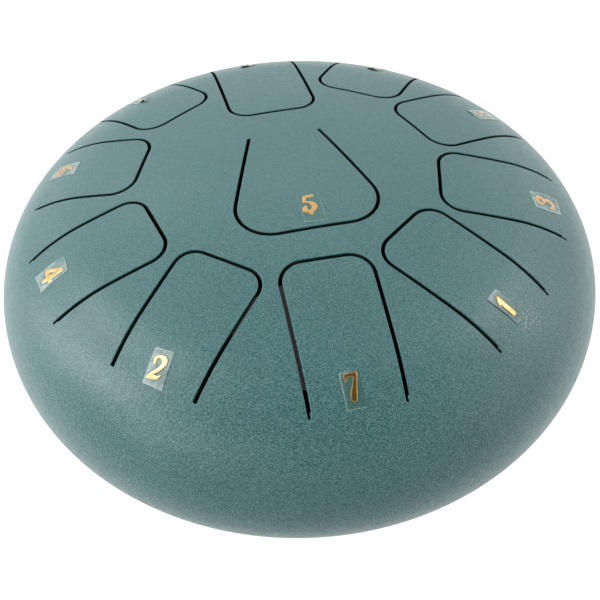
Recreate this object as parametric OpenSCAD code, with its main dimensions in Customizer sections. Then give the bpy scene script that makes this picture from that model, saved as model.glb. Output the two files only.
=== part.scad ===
// Steel tongue drum, eleven notes, 254 mm across.
// +Z up. The origin is the middle of the footprint, on the surface that the
// rubber feet stand on. -Y is the player's side, where tongue "low 7" points.
// Two dished sheet-steel shells are butt welded on their widest line. Eleven
// U-shaped slots cut eleven tongues free in the upper shell.

/* [Shell] */
// Largest diameter of the drum
drum_d = 254; // [250:1:258]
// Thickness of the steel sheet
sheet_t = 2; // [1.6:0.1:2.2]
// Edge radius of the upper shell, next to the weld
up_edge_r = 41.2; // [40:0.1:43]
// Shoulder radius of the upper shell
up_shoulder_r = 63.6; // [60:0.1:66]
// Slope where the crown of the upper shell meets its shoulder, degrees
up_a1 = 11.27; // [10:0.01:12]
// Slope where the shoulder of the upper shell meets its edge, degrees
up_a2 = 33.98; // [33:0.01:36]
// Edge radius of the lower shell, next to the weld
lo_edge_r = 31.5; // [30:0.1:34]
// Shoulder radius of the lower shell
lo_shoulder_r = 110; // [100:1:115]
// Slope where the bottom of the lower shell meets its shoulder, degrees
lo_a1 = 10; // [9:0.1:11]
// Slope where the shoulder of the lower shell meets its edge, degrees
lo_a2 = 46; // [44:0.1:48]
// Diameter of the sound hole in the bottom
sound_hole_d = 70; // [50:1:76]

/* [Weld] */
// Width of the weld groove at the outer face
groove_w = 2.6; // [2:0.1:3]
// Radius of the weld's root bead inside
bead_r = 0.9; // [0.7:0.05:1.1]

/* [Tongues] */
// Width of the cut around each tongue
slot_w = 1.4; // [1:0.05:1.8]
// Clearance of the bending line at each tongue's root
root_gap = 0.06; // [0.05:0.01:0.1]
// Length of the narrower saw cut at each end of a slot
cut_l = 1.8; // [1.2:0.1:2.4]
// Width of that saw cut
cut_w = 0.85; // [0.7:0.05:1]

/* [Stickers] */
// Width of each clear sticker
film_w = 7.4; // [6.5:0.1:8]
// Length of each clear sticker, seen from above
film_l = 11.8; // [11:0.1:12.5]
// Thickness of the clear film
film_t = 0.15; // [0.1:0.01:0.2]
// Thickness of the gold foil numerals
foil_t = 0.1; // [0.06:0.01:0.15]
// Height of a numeral, seen from above
num_h = 9.4; // [8:0.1:10]

/* [Feet] */
// Distance of each foot from the drum's axis
foot_at = 56; // [52:1:58]
// Clear height of the lowest point of the shell above the surface
foot_lift = 7; // [6:0.5:9]
// Largest diameter of a rubber foot
foot_d = 19; // [17:0.5:21]
// Diameter of the foot screws
screw_d = 4; // [3.8:0.1:4]

/* [Hidden] */

R = drum_d / 2;
FN = 180;
// Steps along each arc of a meridian, and round a tongue's tip corner
crown_n = 8;
shoulder_n = 8;
edge_n = 14;
corner_n = 10;
teal = [0.33, 0.5, 0.5];

// Meridian of one dish: an edge arc, a shoulder arc and a crown arc that run
// into each other. a1 and a2 are the slopes at the two joints.
function crown_r(re, rs, a1, a2) =
  (R - re * (1 - sin(a2)) - rs * (sin(a2) - sin(a1))) / sin(a1);
function dish_h(re, rs, a1, a2) =
  re * cos(a2) + rs * (cos(a1) - cos(a2))
  + crown_r(re, rs, a1, a2) * (1 - cos(a1));
up_crown_r = crown_r(up_edge_r, up_shoulder_r, up_a1, up_a2);
lo_crown_r = crown_r(lo_edge_r, lo_shoulder_r, lo_a1, lo_a2);
up_h = dish_h(up_edge_r, up_shoulder_r, up_a1, up_a2);
lo_h = dish_h(lo_edge_r, lo_shoulder_r, lo_a1, lo_a2);
// Height of the weld line above the surface
z_eq = foot_lift + lo_h;

// Each tongue: slope-free plan of the middle of its slot.
// [bearing, tip, half width at the tip, change of half width per mm,
//  corner radius, root, turn about the tip, side shift, saw cuts,
//  sticker middle, sticker side shift, sticker turn,
//  numeral, height of its dot, numeral middle, numeral side shift]
// Distances run outwards from the drum's axis along the bearing. A dot at a
// negative height is below the numeral, at a positive one above it, and 0 is
// none. The turns are degrees.
T_low_7 = [-80.1, 49.8, 16.92, -0.018, 8.6, 104.8, 0.23, -0.05, 1,
  98.5, -1.0, 4, 7, 0, 98.1, -1.0];
T_1     = [-41.7, 50.65, 17.2, -0.011, 8.4, 104.6, 0.3, 0.06, 1,
  96.6, -1.7, 6, 1, 0, 96.2, -1.7];
T_3     = [-5.4, 56.5, 17.8, -0.0005, 8.6, 106.0, -0.32, 0.24, 1,
  99.3, -1.9, -8, 3, 0, 99.0, -1.9];
T_5     = [30.6, 58.5, 18.65, 0.015, 9.2, 105.6, 0.3, 0.04, 1,
  99.1, -0.5, 3, 5, 0, 98.8, -0.5];
T_7     = [65.7, 64.05, 19.3, 0.021, 9.8, 105.4, 1.05, -0.22, 1,
  98.8, -0.5, -4, 7, 0, 98.6, -0.5];
T_low_6 = [102.6, 40.8, 18.93, 0.0205, 9.3, 105.4, 0.04, -0.17, 1,
  98.9, 0.8, 2, 6, -6.2, 98.6, 0.8];
T_high_1 = [137.8, 67.0, 18.76, 0.0275, 9.6, 106.0, -3.0, 0.9, 1,
  99.4, -0.4, -3, 1, 6.2, 99.2, -0.4];
T_6     = [172.2, 63.55, 18.02, 0.018, 9.0, 106.2, -0.4, -0.03, 1,
  99.4, -2.6, 9, 6, 0, 99.6, -2.6];
T_4     = [207.3, 60.0, 17.28, -0.0015, 8.1, 107.0, 0.4, -0.32, 1,
  100.6, -2.9, -4, 4, 0, 100.6, -2.9];
T_2     = [242.2, 55.1, 17.04, -0.017, 7.6, 103.9, -0.08, 0.01, 0,
  97.6, -0.2, 5, 2, 0, 98.3, -0.2];
// The middle tongue points at the player and is wider at its tip than at its
// root, which lies past the axis.
M = [-80.0, 35.25, 32.17, -0.302, 14, -22.3, 1.5, 0.3, 0,
  25.0, 0.6, -2, 5, -4.7, 24.0, 0.2];

// Plan outline of a tongue whose tip is at x = 0 and which runs to x = len.
// grow moves the sides and the tip outwards. Each tip corner is an arc that
// runs into the tip and into the side.
module outline(w, tap, rad, len, grow) {
  k = sqrt(1 + tap * tap);
  r = rad + grow;
  vc = w + tap * rad - rad * k;
  e = w + tap * len + grow * k;
  turn = 90 - atan(tap);
  up = [for (i = [0:corner_n]) let (a = 180 - turn * i / corner_n)
    [rad + r * cos(a), vc + r * sin(a)]];
  polygon(concat(up, [[len, e], [len, -e]],
    [for (i = [corner_n:-1:0]) [up[i][0], -up[i][1]]]));
}

// Block beside the root at one side (q is 1 or -1) of a tongue's plan,
// between the offsets g1 and g2 from the middle of its slot
module root_block(w, tap, len, back, q, g1, g2) {
  k = sqrt(1 + tap * tap);
  function e(x, g) = q * (w + tap * x + g * k);
  polygon([[len - cut_l, e(len - cut_l, g1)], [len - back, e(len, g1)],
    [len - back, e(len, g2)], [len - cut_l, e(len - cut_l, g2)]]);
}

// Place of a tongue's plan on the drum. The middle tongue points the other way.
module at_tongue(T) {
  rotate(T[0]) translate([T[1], T[7]]) rotate(T[6])
    mirror([T[5] < T[1] ? 1 : 0, 0]) children();
}
// Plan of the opening round a tongue. The slot's end at the tongue's +y side
// runs on as a saw cut along the tongue, so the shell fills the rest.
module window_plan(T) {
  len = abs(T[5] - T[1]);
  at_tongue(T) difference() {
    outline(T[2], T[3], T[4], len, slot_w / 2);
    if (T[8] > 0)
      root_block(T[2], T[3], len, -1, 1, cut_w - slot_w / 2, slot_w);
  }
}
// Plan of a tongue. The saw cut at its -y side runs along the shell, so the
// tongue fills the rest.
module tongue_plan(T) {
  len = abs(T[5] - T[1]);
  at_tongue(T) union() {
    outline(T[2], T[3], T[4], len - root_gap, -slot_w / 2);
    if (T[8] > 0)
      root_block(T[2], T[3], len, root_gap, -1, -slot_w, slot_w / 2 - cut_w);
  }
}

// Points of a dish's meridian at the offset d from its outer face, from the
// axis to the widest line
function arc_pts(cx, cy, r, a, b, n, first) =
  [for (i = [first:n]) let (t = a + (b - a) * i / n)
    [cx + r * sin(t), cy + r * cos(t)]];
function dish_pts(re, rs, a1, a2, d) = let (
    rc = crown_r(re, rs, a1, a2), h = dish_h(re, rs, a1, a2),
    c2x = (rc - rs) * sin(a1), c2y = h - rc + (rc - rs) * cos(a1))
  concat(arc_pts(0, h - rc, rc + d, 0, a1, crown_n, 0),
    arc_pts(c2x, c2y, rs + d, a1, a2, shoulder_n, 1),
    arc_pts(R - re, 0, re + d, a2, 90, edge_n, 1));

// Meridian of a dish wall between the offsets d1 and d2 from its outer face.
// The widest line is at y = 0 and the crown at y > 0.
module dish_2d(re, rs, a1, a2, d1, d2) {
  p = dish_pts(re, rs, a1, a2, d1);
  q = dish_pts(re, rs, a1, a2, d2);
  polygon(concat(p, [for (i = [len(q) - 1:-1:0]) q[i]]));
}
module up_2d(d1, d2) {
  dish_2d(up_edge_r, up_shoulder_r, up_a1, up_a2, d1, d2);
}
module lo_2d(d1, d2) {
  mirror([0, 1]) dish_2d(lo_edge_r, lo_shoulder_r, lo_a1, lo_a2, d1, d2);
}

// A layer of the upper shell's shape, on its own part of the drum
module up_layer(d1, d2) {
  translate([0, 0, z_eq]) rotate_extrude($fn = FN) up_2d(d1, d2);
}
// Column that cuts a plan shape out of a layer
module column() {
  translate([0, 0, z_eq + 5]) linear_extrude(height = up_h + 10) children();
}

// Both walls in the meridian plane, as one outline
module wall_2d() {
  up = dish_pts(up_edge_r, up_shoulder_r, up_a1, up_a2, 0);
  upi = dish_pts(up_edge_r, up_shoulder_r, up_a1, up_a2, -sheet_t);
  lo = dish_pts(lo_edge_r, lo_shoulder_r, lo_a1, lo_a2, 0);
  loi = dish_pts(lo_edge_r, lo_shoulder_r, lo_a1, lo_a2, -sheet_t);
  n = len(up) - 1;
  polygon(concat(up, [for (i = [n - 1:-1:0]) [lo[i][0], -lo[i][1]]],
    [for (i = [0:n]) [loi[i][0], -loi[i][1]]],
    [for (i = [n - 1:-1:0]) upi[i]]));
}
// Weld groove, which opens outwards, and the root bead on the inner face
module groove_2d() {
  g = groove_w / 2;
  polygon([[R - sheet_t - 0.2, -0.35], [R + 1, -g - 0.4],
    [R + 1, g + 0.4], [R - sheet_t - 0.2, 0.35]]);
}
module bead_2d() {
  translate([R - sheet_t - 0.1, 0]) circle(r = bead_r, $fn = 48);
}

module upper_shell() {
  color(teal) difference() {
    translate([0, 0, z_eq]) rotate_extrude($fn = FN) difference() {
      up_2d(-sheet_t, 0);
      groove_2d();
      bead_2d();
    }
    for (T = [T_low_7, T_1, T_3, T_5, T_7, T_low_6, T_high_1, T_6, T_4, T_2, M])
      column() window_plan(T);
  }
}

module lower_shell() {
  color(teal) difference() {
    translate([0, 0, z_eq]) rotate_extrude($fn = FN) difference() {
      lo_2d(-sheet_t, 0);
      groove_2d();
      bead_2d();
    }
    cylinder(d = sound_hole_d, h = foot_lift + 12, $fn = 144);
    for (i = [0:3]) at_foot(i)
      translate([0, 0, -3]) cylinder(d = screw_d + 0.4, h = 8, $fn = 48);
  }
}

module weld_seam() {
  color([0.3, 0.46, 0.46]) translate([0, 0, z_eq]) union() {
    rotate_extrude($fn = FN) intersection() { wall_2d(); groove_2d(); }
    rotate_extrude($fn = FN) bead_2d();
  }
}

module tongue(T) {
  color(teal) intersection() {
    up_layer(-sheet_t, 0);
    column() tongue_plan(T);
  }
}

// Clear sticker: a strip with clipped corners that follows the tongue
module film_plan(at, side, turn) {
  translate([at, side]) rotate(turn)
    polygon([[-film_l / 2 + 0.5, -film_w / 2], [film_l / 2 - 0.4, -film_w / 2],
      [film_l / 2, -film_w / 2 + 0.4], [film_l / 2, film_w / 2 - 0.5],
      [film_l / 2 - 0.5, film_w / 2], [-film_l / 2 + 0.4, film_w / 2],
      [-film_l / 2, film_w / 2 - 0.4], [-film_l / 2, -film_w / 2 + 0.5]]);
}
module sticker(T) {
  color([0.72, 0.8, 0.8, 0.5]) intersection() {
    up_layer(0, film_t);
    column() rotate(T[0]) film_plan(T[9], T[10], T[11]);
  }
}

// Smooth path through the points p, four steps a span
function cr(a, b, c, d, t) = 0.5 * (2 * b + (c - a) * t
  + (2 * a - 5 * b + 4 * c - d) * t * t
  + (3 * b - a - 3 * c + d) * t * t * t);
function path(p) = [for (i = [0:len(p) - 2]) for (j = [0:3])
    cr(p[max(i - 1, 0)], p[i], p[i + 1], p[min(i + 2, len(p) - 1)], j / 4),
  p[len(p) - 1]];
// Unit normal of the path q at its point i
function side(q, i) = let (a = q[max(i - 1, 0)], b = q[min(i + 1, len(q) - 1)],
    d = [b[0] - a[0], b[1] - a[1]]) [-d[1], d[0]] / norm(d);
// Round end of the path q at its point i, on the side q points to (f is 1) or
// comes from (-1)
function cap(q, i, f) = let (s = side(q, i) * q[i][2] * f)
  [for (a = [30:30:150])
    [q[i][0] + s[0] * cos(a) + s[1] * sin(a),
     q[i][1] + s[1] * cos(a) - s[0] * sin(a)]];
// Brush stroke with round ends: each point is [x, y, half width]
module stroke(p) {
  q = path(p);
  n = len(q) - 1;
  polygon(concat(
    [for (i = [0:n]) [q[i][0], q[i][1]] + side(q, i) * q[i][2]],
    cap(q, n, 1),
    [for (i = [n:-1:0]) [q[i][0], q[i][1]] - side(q, i) * q[i][2]],
    cap(q, 0, -1)));
}

// Numerals in a field about 10 high, with the middle at the origin
module glyph(n) {
  union() {
    if (n == 1) {
      polygon([[0.1, 4.0], [1.0, 4.2], [1.5, 3.6], [1.3, 1.6], [1.1, -0.8],
        [1.0, -3.0], [0.9, -4.6], [0.2, -5.0], [-1.0, -5.0], [-1.6, -4.5],
        [-1.6, -3.0], [-1.5, -0.8], [-1.3, 1.0], [-1.8, 0.4], [-2.3, 0.6],
        [-2.1, 1.4], [-1.3, 2.7]]);
    }
    if (n == 2) {
      stroke([[-1.9, 0.6, 0.72], [-2.2, 1.6, 0.6], [-1.4, 2.7, 0.6],
        [0.1, 2.9, 0.9], [1.4, 2.2, 1.1], [1.6, 0.8, 1.0], [0.8, -0.9, 0.85],
        [-0.6, -2.4, 0.75], [-2.1, -3.8, 0.55]]);
      polygon([[-3.5, -4.6], [-2.2, -4.8], [-0.5, -4.75], [0.9, -4.6],
        [1.8, -4.1], [2.3, -2.7], [1.7, -2.7], [1.0, -3.2], [-0.2, -3.3],
        [-1.4, -3.3], [-2.4, -3.1]]);
    }
    if (n == 3) {
      stroke([[-1.9, 2.4, 0.85], [-0.9, 3.5, 0.75], [1.0, 3.2, 0.9],
        [1.5, 1.9, 1.0], [0.7, 0.7, 0.7], [-0.6, 0.4, 0.55]]);
      stroke([[-0.6, 0.4, 0.6], [1.1, -0.1, 0.85], [1.9, -1.7, 1.1],
        [1.2, -3.5, 1.0], [-0.6, -4.1, 0.75], [-2.1, -3.1, 0.9]]);
    }
    if (n == 4) {
      stroke([[1.2, 3.5, 0.8], [-0.3, 1.5, 0.8], [-1.6, -0.2, 0.8],
        [-2.8, -2.0, 0.8]]);
      stroke([[-2.8, -2.1, 0.8], [-0.6, -2.1, 0.9], [1.2, -2.0, 0.9],
        [2.7, -1.8, 0.85]]);
      stroke([[1.4, 3.4, 0.85], [1.3, 0.6, 0.95], [0.9, -2.0, 1.0],
        [0.6, -4.3, 0.8]]);
    }
    if (n == 5) {
      stroke([[-0.9, 4.7, 0.8], [0.3, 4.75, 0.8], [1.6, 5.0, 0.8]]);
      stroke([[-1.4, 4.5, 0.7], [-1.6, 3.2, 0.75], [-1.7, 1.8, 0.7]]);
      stroke([[-1.6, 1.5, 0.5], [0.2, 1.3, 0.75], [1.6, 0.2, 1.15],
        [1.9, -1.6, 1.15], [0.8, -3.2, 0.9], [-0.8, -3.5, 0.8],
        [-2.1, -2.6, 0.9]]);
    }
    if (n == 6) {
      stroke([[1.7, 3.9, 0.7], [-0.1, 3.0, 0.85], [-1.6, 0.9, 1.1],
        [-1.9, -1.7, 1.2], [-0.9, -3.7, 0.95], [0.3, -4.0, 0.8]]);
      stroke([[-0.2, -4.0, 0.8], [1.4, -3.4, 1.0], [1.8, -1.9, 1.1],
        [1.0, -0.4, 0.9], [-0.6, -0.2, 0.6], [-1.6, -0.9, 0.4]]);
    }
    if (n == 7) {
      polygon([[-1.6, 4.2], [0.7, 4.2], [3.3, 4.4], [3.2, 3.6], [2.4, 2.0],
        [1.7, 0.4], [1.2, -1.2], [0.9, -2.9], [0.7, -4.2], [0.1, -4.8],
        [-0.8, -4.9], [-1.6, -4.4], [-1.7, -3.4], [-1.4, -2.2], [-0.7, -0.8],
        [0.2, 0.6], [0.9, 1.6], [1.3, 2.5], [0.4, 2.7], [-0.7, 2.6],
        [-1.4, 1.7], [-2.0, 1.9], [-2.1, 3.0]]);
    }
  }
}

// Numeral and its octave dot on the sticker, its top towards the drum's axis
module numeral(T) {
  dot = T[13];
  k = num_h / (abs(dot) < 5 ? 10 : 11.2);
  color([0.86, 0.68, 0.32]) intersection() {
    up_layer(film_t, film_t + foil_t);
    column() rotate(T[0]) translate([T[14], T[15]])
      rotate(90 + T[11]) scale([k, k, 1]) union() {
        glyph(T[12]);
        if (dot != 0) translate([0.1, dot]) circle(r = 0.95, $fn = 32);
      }
  }
}

// Place of foot i: the local origin is on the shell's outer face, with local
// +Z along the inward normal
slope = asin(foot_at / lo_crown_r);
foot_z = z_eq - lo_h + lo_crown_r * (1 - cos(slope));
module at_foot(i) {
  rotate([0, 0, -45 + 90 * i]) translate([foot_at, 0, foot_z])
    rotate([0, -slope, 0]) children();
}

// Space inside the lower shell's outer face
module lower_body() {
  lo = dish_pts(lo_edge_r, lo_shoulder_r, lo_a1, lo_a2, 0);
  translate([0, 0, z_eq]) rotate_extrude($fn = FN)
    polygon(concat([[0, 0]], [for (p = lo) [p[0], -p[1]]]));
}

// Rubber foot: a turned buffer with a rounded rim and a deep screw pocket.
// Its top follows the shell and its bottom is flat on the surface.
module rubber_foot(i) {
  color([0.12, 0.12, 0.12]) intersection() {
    difference() {
      at_foot(i) rotate_extrude($fn = 72) difference() {
        polygon([[0, 2], [foot_d / 2 - 0.6, 2], [foot_d / 2 - 0.6, -1.2],
          [foot_d / 2, -2], [foot_d / 2, -4], [foot_d / 2 - 1.6, -14],
          [0, -14]]);
        polygon([[-1, 3], [screw_d / 2 + 0.2, 3], [screw_d / 2 + 0.2, -3.2],
          [4.9, -3.2], [4.9, -15], [-1, -15]]);
      }
      lower_body();
    }
    translate([-R, -R, 0]) cube([2 * R, 2 * R, 60]);
  }
}

// Steel insert in the pocket of a foot, which spreads the screw's load
module foot_inserts() {
  color([0.75, 0.75, 0.73]) for (i = [0:3]) at_foot(i) difference() {
    translate([0, 0, -4.2]) cylinder(d = 9.6, h = 1, $fn = 60);
    translate([0, 0, -5]) cylinder(d = screw_d + 0.3, h = 3, $fn = 48);
  }
}

// Pan-head screw with a cross recess
module foot_screws() {
  color([0.7, 0.7, 0.7]) for (i = [0:3]) at_foot(i) difference() {
    rotate_extrude($fn = 60) union() {
      polygon([[0, -4.3], [0, 9.2], [screw_d / 2 - 0.55, 9.2],
        [screw_d / 2 - 0.05, 8.7], [screw_d / 2 - 0.05, -4.3]]);
      polygon([[0, -4.2], [3.9, -4.2], [3.9, -5.2], [3.5, -6.0], [2.6, -6.5],
        [0, -6.6]]);
    }
    translate([0, 0, -6.6]) {
      cube([0.7, 4.2, 2.6], center = true);
      cube([4.2, 0.7, 2.6], center = true);
    }
  }
}

module foot_washers() {
  color([0.75, 0.75, 0.73]) for (i = [0:3]) at_foot(i) difference() {
    translate([0, 0, sheet_t + 0.16]) cylinder(d = 9, h = 0.8, $fn = 60);
    translate([0, 0, 1]) cylinder(d = screw_d + 0.3, h = 4, $fn = 48);
  }
}

module foot_nuts() {
  color([0.7, 0.7, 0.7]) for (i = [0:3]) at_foot(i) difference() {
    intersection() {
      translate([0, 0, sheet_t + 0.96])
        cylinder(d = 7 / cos(30), h = 3.2, $fn = 6);
      translate([0, 0, sheet_t + 0.96]) rotate_extrude($fn = 60)
        polygon([[0, 0], [3.6, 0], [4.1, 0.35], [4.1, 2.85], [3.6, 3.2],
          [0, 3.2]]);
    }
    translate([0, 0, 1]) cylinder(d = screw_d, h = 8, $fn = 48);
  }
}

upper_shell();
lower_shell();
weld_seam();
tongue(M);  // tongue_low_5
tongue(T_low_6);  // tongue_low_6
tongue(T_low_7);  // tongue_low_7
tongue(T_1);  // tongue_1
tongue(T_2);  // tongue_2
tongue(T_3);  // tongue_3
tongue(T_4);  // tongue_4
tongue(T_5);  // tongue_5
tongue(T_6);  // tongue_6
tongue(T_7);  // tongue_7
tongue(T_high_1);  // tongue_high_1
sticker(M);  // sticker_low_5
sticker(T_low_6);  // sticker_low_6
sticker(T_low_7);  // sticker_low_7
sticker(T_1);  // sticker_1
sticker(T_2);  // sticker_2
sticker(T_3);  // sticker_3
sticker(T_4);  // sticker_4
sticker(T_5);  // sticker_5
sticker(T_6);  // sticker_6
sticker(T_7);  // sticker_7
sticker(T_high_1);  // sticker_high_1
numeral(M);  // numeral_low_5
numeral(T_low_6);  // numeral_low_6
numeral(T_low_7);  // numeral_low_7
numeral(T_1);  // numeral_1
numeral(T_2);  // numeral_2
numeral(T_3);  // numeral_3
numeral(T_4);  // numeral_4
numeral(T_5);  // numeral_5
numeral(T_6);  // numeral_6
numeral(T_7);  // numeral_7
numeral(T_high_1);  // numeral_high_1
rubber_foot(0);  // foot_front_right
rubber_foot(1);  // foot_back_right
rubber_foot(2);  // foot_back_left
rubber_foot(3);  // foot_front_left
foot_inserts();
foot_screws();
foot_washers();
foot_nuts();
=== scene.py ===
import math

import bpy
import numpy as np
from mathutils import Matrix, Vector
from mathutils.geometry import delaunay_2d_cdt


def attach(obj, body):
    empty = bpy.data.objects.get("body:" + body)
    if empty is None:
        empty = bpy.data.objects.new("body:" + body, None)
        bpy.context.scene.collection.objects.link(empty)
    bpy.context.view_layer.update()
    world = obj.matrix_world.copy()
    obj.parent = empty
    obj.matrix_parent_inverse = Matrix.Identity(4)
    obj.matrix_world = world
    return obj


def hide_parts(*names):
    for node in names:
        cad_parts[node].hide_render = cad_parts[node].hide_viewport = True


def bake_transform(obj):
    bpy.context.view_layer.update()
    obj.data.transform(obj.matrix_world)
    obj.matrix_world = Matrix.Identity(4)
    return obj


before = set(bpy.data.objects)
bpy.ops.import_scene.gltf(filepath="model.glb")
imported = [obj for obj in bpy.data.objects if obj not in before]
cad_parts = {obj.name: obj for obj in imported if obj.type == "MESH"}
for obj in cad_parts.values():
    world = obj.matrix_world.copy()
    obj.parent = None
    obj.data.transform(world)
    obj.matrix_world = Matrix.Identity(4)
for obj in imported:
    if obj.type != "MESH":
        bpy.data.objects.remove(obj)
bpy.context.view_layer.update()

# Everything below is worked out in millimetres in the row frame and written to
# the meshes in metres.
MM = 0.001
R = 127.0
T = 2.0
LIFT = 7.0
SEG = 360
SLOT = 1.4


def sind(a):
    return math.sin(math.radians(a))


def cosd(a):
    return math.cos(math.radians(a))


# ---------------------------------------------------------------- shell shape
class Dish:
    """One dished shell: crown, shoulder and edge arcs. sign is 1 for the upper
    one and -1 for the lower one. Heights h are away from the weld line."""

    def __init__(s, re, rs, a1, a2, sign):
        s.re, s.rs, s.a1, s.a2, s.sign = re, rs, math.radians(a1), math.radians(a2), sign
        s.rc = (R - re * (1 - sind(a2)) - rs * (sind(a2) - sind(a1))) / sind(a1)
        s.h = re * cosd(a2) + rs * (cosd(a1) - cosd(a2)) + s.rc * (1 - cosd(a1))
        s.arcs = (
            (0.0, s.h - s.rc, s.rc, 0.0, s.a1),
            ((s.rc - rs) * sind(a1), s.h - s.rc + (s.rc - rs) * cosd(a1), rs, s.a1, s.a2),
            (R - re, 0.0, re, s.a2, math.pi / 2),
        )

    def at(s, theta, d=0.0):
        """(r, h) at the slope theta on the layer d outside the outer face."""
        for cx, cy, rad, a, b in s.arcs:
            if theta <= b + 1e-12:
                break
        return cx + (rad + d) * math.sin(theta), cy + (rad + d) * math.cos(theta)

    def slope(s, r, d=0.0):
        for cx, cy, rad, a, b in s.arcs:
            if r <= cx + (rad + d) * math.sin(b) or b > 1.5:
                break
        return math.asin(max(0.0, min(1.0, (r - cx) / (rad + d))))

    def point(s, x, y, d=0.0):
        """Row-frame point over the plan point (x, y) on layer d, and its outward normal."""
        r = math.hypot(x, y)
        th = s.slope(r, d)
        z = Z_EQ + s.sign * s.at(th, d)[1]
        if r < 1e-9:
            return (x, y, z), (0.0, 0.0, float(s.sign))
        return (x, y, z), (math.sin(th) * x / r, math.sin(th) * y / r, s.sign * math.cos(th))


UP = Dish(41.2, 63.6, 11.27, 33.98, 1)
LO = Dish(31.5, 110.0, 10.0, 46.0, -1)
Z_EQ = LIFT + LO.h


# ------------------------------------------------------------- mesh building
class Build:
    """Collects polygons with a normal for each corner. Points at one place are
    one vertex, and each polygon is turned so that it faces its normals."""

    def __init__(s):
        s.v, s.keys, s.f, s.n, s.tag = [], {}, [], [], []

    def vert(s, p):
        k = (round(p[0] * 2000), round(p[1] * 2000), round(p[2] * 2000))
        i = s.keys.get(k)
        if i is None:
            i = s.keys[k] = len(s.v)
            s.v.append((p[0], p[1], p[2]))
        return i

    def face(s, pts, nrm, tag=0.0):
        idx, ns, ps = [], [], []
        for p, n in zip(pts, nrm):
            i = s.vert(p)
            if i in idx:
                continue
            idx.append(i)
            ns.append(n)
            ps.append(p)
        if len(idx) < 3:
            return
        gx = gy = gz = 0.0
        for k in range(len(ps)):
            a, b = ps[k], ps[(k + 1) % len(ps)]
            gx += (a[1] - b[1]) * (a[2] + b[2])
            gy += (a[2] - b[2]) * (a[0] + b[0])
            gz += (a[0] - b[0]) * (a[1] + b[1])
        if gx * sum(n[0] for n in ns) + gy * sum(n[1] for n in ns) + gz * sum(n[2] for n in ns) < 0:
            idx.reverse()
            ns.reverse()
        s.f.append(idx)
        s.n.extend(ns)
        s.tag.append(tag)

    def object(s, name, material, inner, smooth_angle=None):
        """The mesh as an object. Faces tagged above 0.5 get the inner material."""
        me = bpy.data.meshes.new(name)
        me.from_pydata([(a * MM, b * MM, c * MM) for a, b, c in s.v], [], s.f)
        me.polygons.foreach_set("use_smooth", [True] * len(me.polygons))
        me.polygons.foreach_set("material_index", [int(t > 0.5) for t in s.tag])
        if smooth_angle is None:
            n = np.array(s.n, float)
            n /= np.maximum(np.linalg.norm(n, axis=1), 1e-9)[:, None]
            me.normals_split_custom_set(n.tolist())
        else:
            me.set_sharp_from_angle(angle=math.radians(smooth_angle))
        me.materials.append(material)
        me.materials.append(inner)
        ob = bpy.data.objects.new(name, me)
        bpy.context.scene.collection.objects.link(ob)
        return ob


def even_odd(pts, loops):
    """For each point, whether it is inside an odd number of the closed loops."""
    pts = np.asarray(pts, float)
    inside = np.zeros(len(pts), bool)
    for lp in loops:
        a = np.asarray(lp, float)
        b = np.roll(a, -1, 0)
        for k in range(0, len(pts), 4000):
            x, y = pts[k:k + 4000, 0, None], pts[k:k + 4000, 1, None]
            cross = (a[:, 1] > y) != (b[:, 1] > y)
            with np.errstate(divide="ignore", invalid="ignore"):
                xi = a[:, 0] + (y - a[:, 1]) * (b[:, 0] - a[:, 0]) / (b[:, 1] - a[:, 1])
            inside[k:k + 4000] ^= (np.where(cross, x < xi, False).sum(1) % 2).astype(bool)
    return inside


def far_from(pts, loops, gap):
    pts = np.asarray(pts, float)
    near = np.full(len(pts), 1e9)
    for lp in loops:
        a = np.asarray(lp, float)
        b = np.roll(a, -1, 0)
        d = b - a
        ll = np.maximum((d * d).sum(1), 1e-12)
        for k in range(0, len(pts), 2000):
            q = pts[k:k + 2000, None, :] - a[None]
            t = np.clip((q * d[None]).sum(2) / ll, 0, 1)
            e = q - t[..., None] * d[None]
            near[k:k + 2000] = np.minimum(near[k:k + 2000], np.sqrt((e * e).sum(2)).min(1))
    return near > gap


def triangles(loops, pitch):
    """Triangles, as corner points, that fill the space inside an odd number of
    the closed plan loops, with extra points on a grid of that pitch."""
    pts, keys, edges = [], {}, []

    def add(p):
        k = (round(p[0] * 1e4), round(p[1] * 1e4))
        if k not in keys:
            keys[k] = len(pts)
            pts.append((float(p[0]), float(p[1])))
        return keys[k]

    for lp in loops:
        ids = [add(p) for p in lp]
        edges += [(a, b) for a, b in zip(ids, ids[1:] + ids[:1]) if a != b]
    big = np.concatenate([np.asarray(lp, float) for lp in loops])
    lo, hi = big.min(0), big.max(0)
    grid, row = [], 0
    y = lo[1]
    while y < hi[1]:
        xs = np.arange(lo[0] + (pitch / 2 if row % 2 else 0), hi[0], pitch)
        grid += [(x, y) for x in xs]
        y += pitch * 0.866
        row += 1
    grid = np.array(grid) + 0.013
    grid = grid[even_odd(grid, loops)]
    if len(grid):
        grid = grid[far_from(grid, loops, pitch * 0.45)]
        for p in grid:
            add(p)
    out = delaunay_2d_cdt([Vector(p) for p in pts], edges, [], 0, 1e-7)
    first = [o[0] if o else None for o in out[3]]
    if any(f is None for f in first):
        raise RuntimeError("the plan loops cross")
    tri = [[pts[first[i]] for i in f] for f in out[2]]
    mid = np.array([np.mean(t, 0) for t in tri])
    keep = even_odd(mid, loops)
    return [t for t, k in zip(tri, keep) if k]


def plus(a, b, t=1.0):
    return (a[0] + b[0] * t, a[1] + b[1] * t, a[2] + b[2] * t)


def neg(a):
    return (-a[0], -a[1], -a[2])


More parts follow.
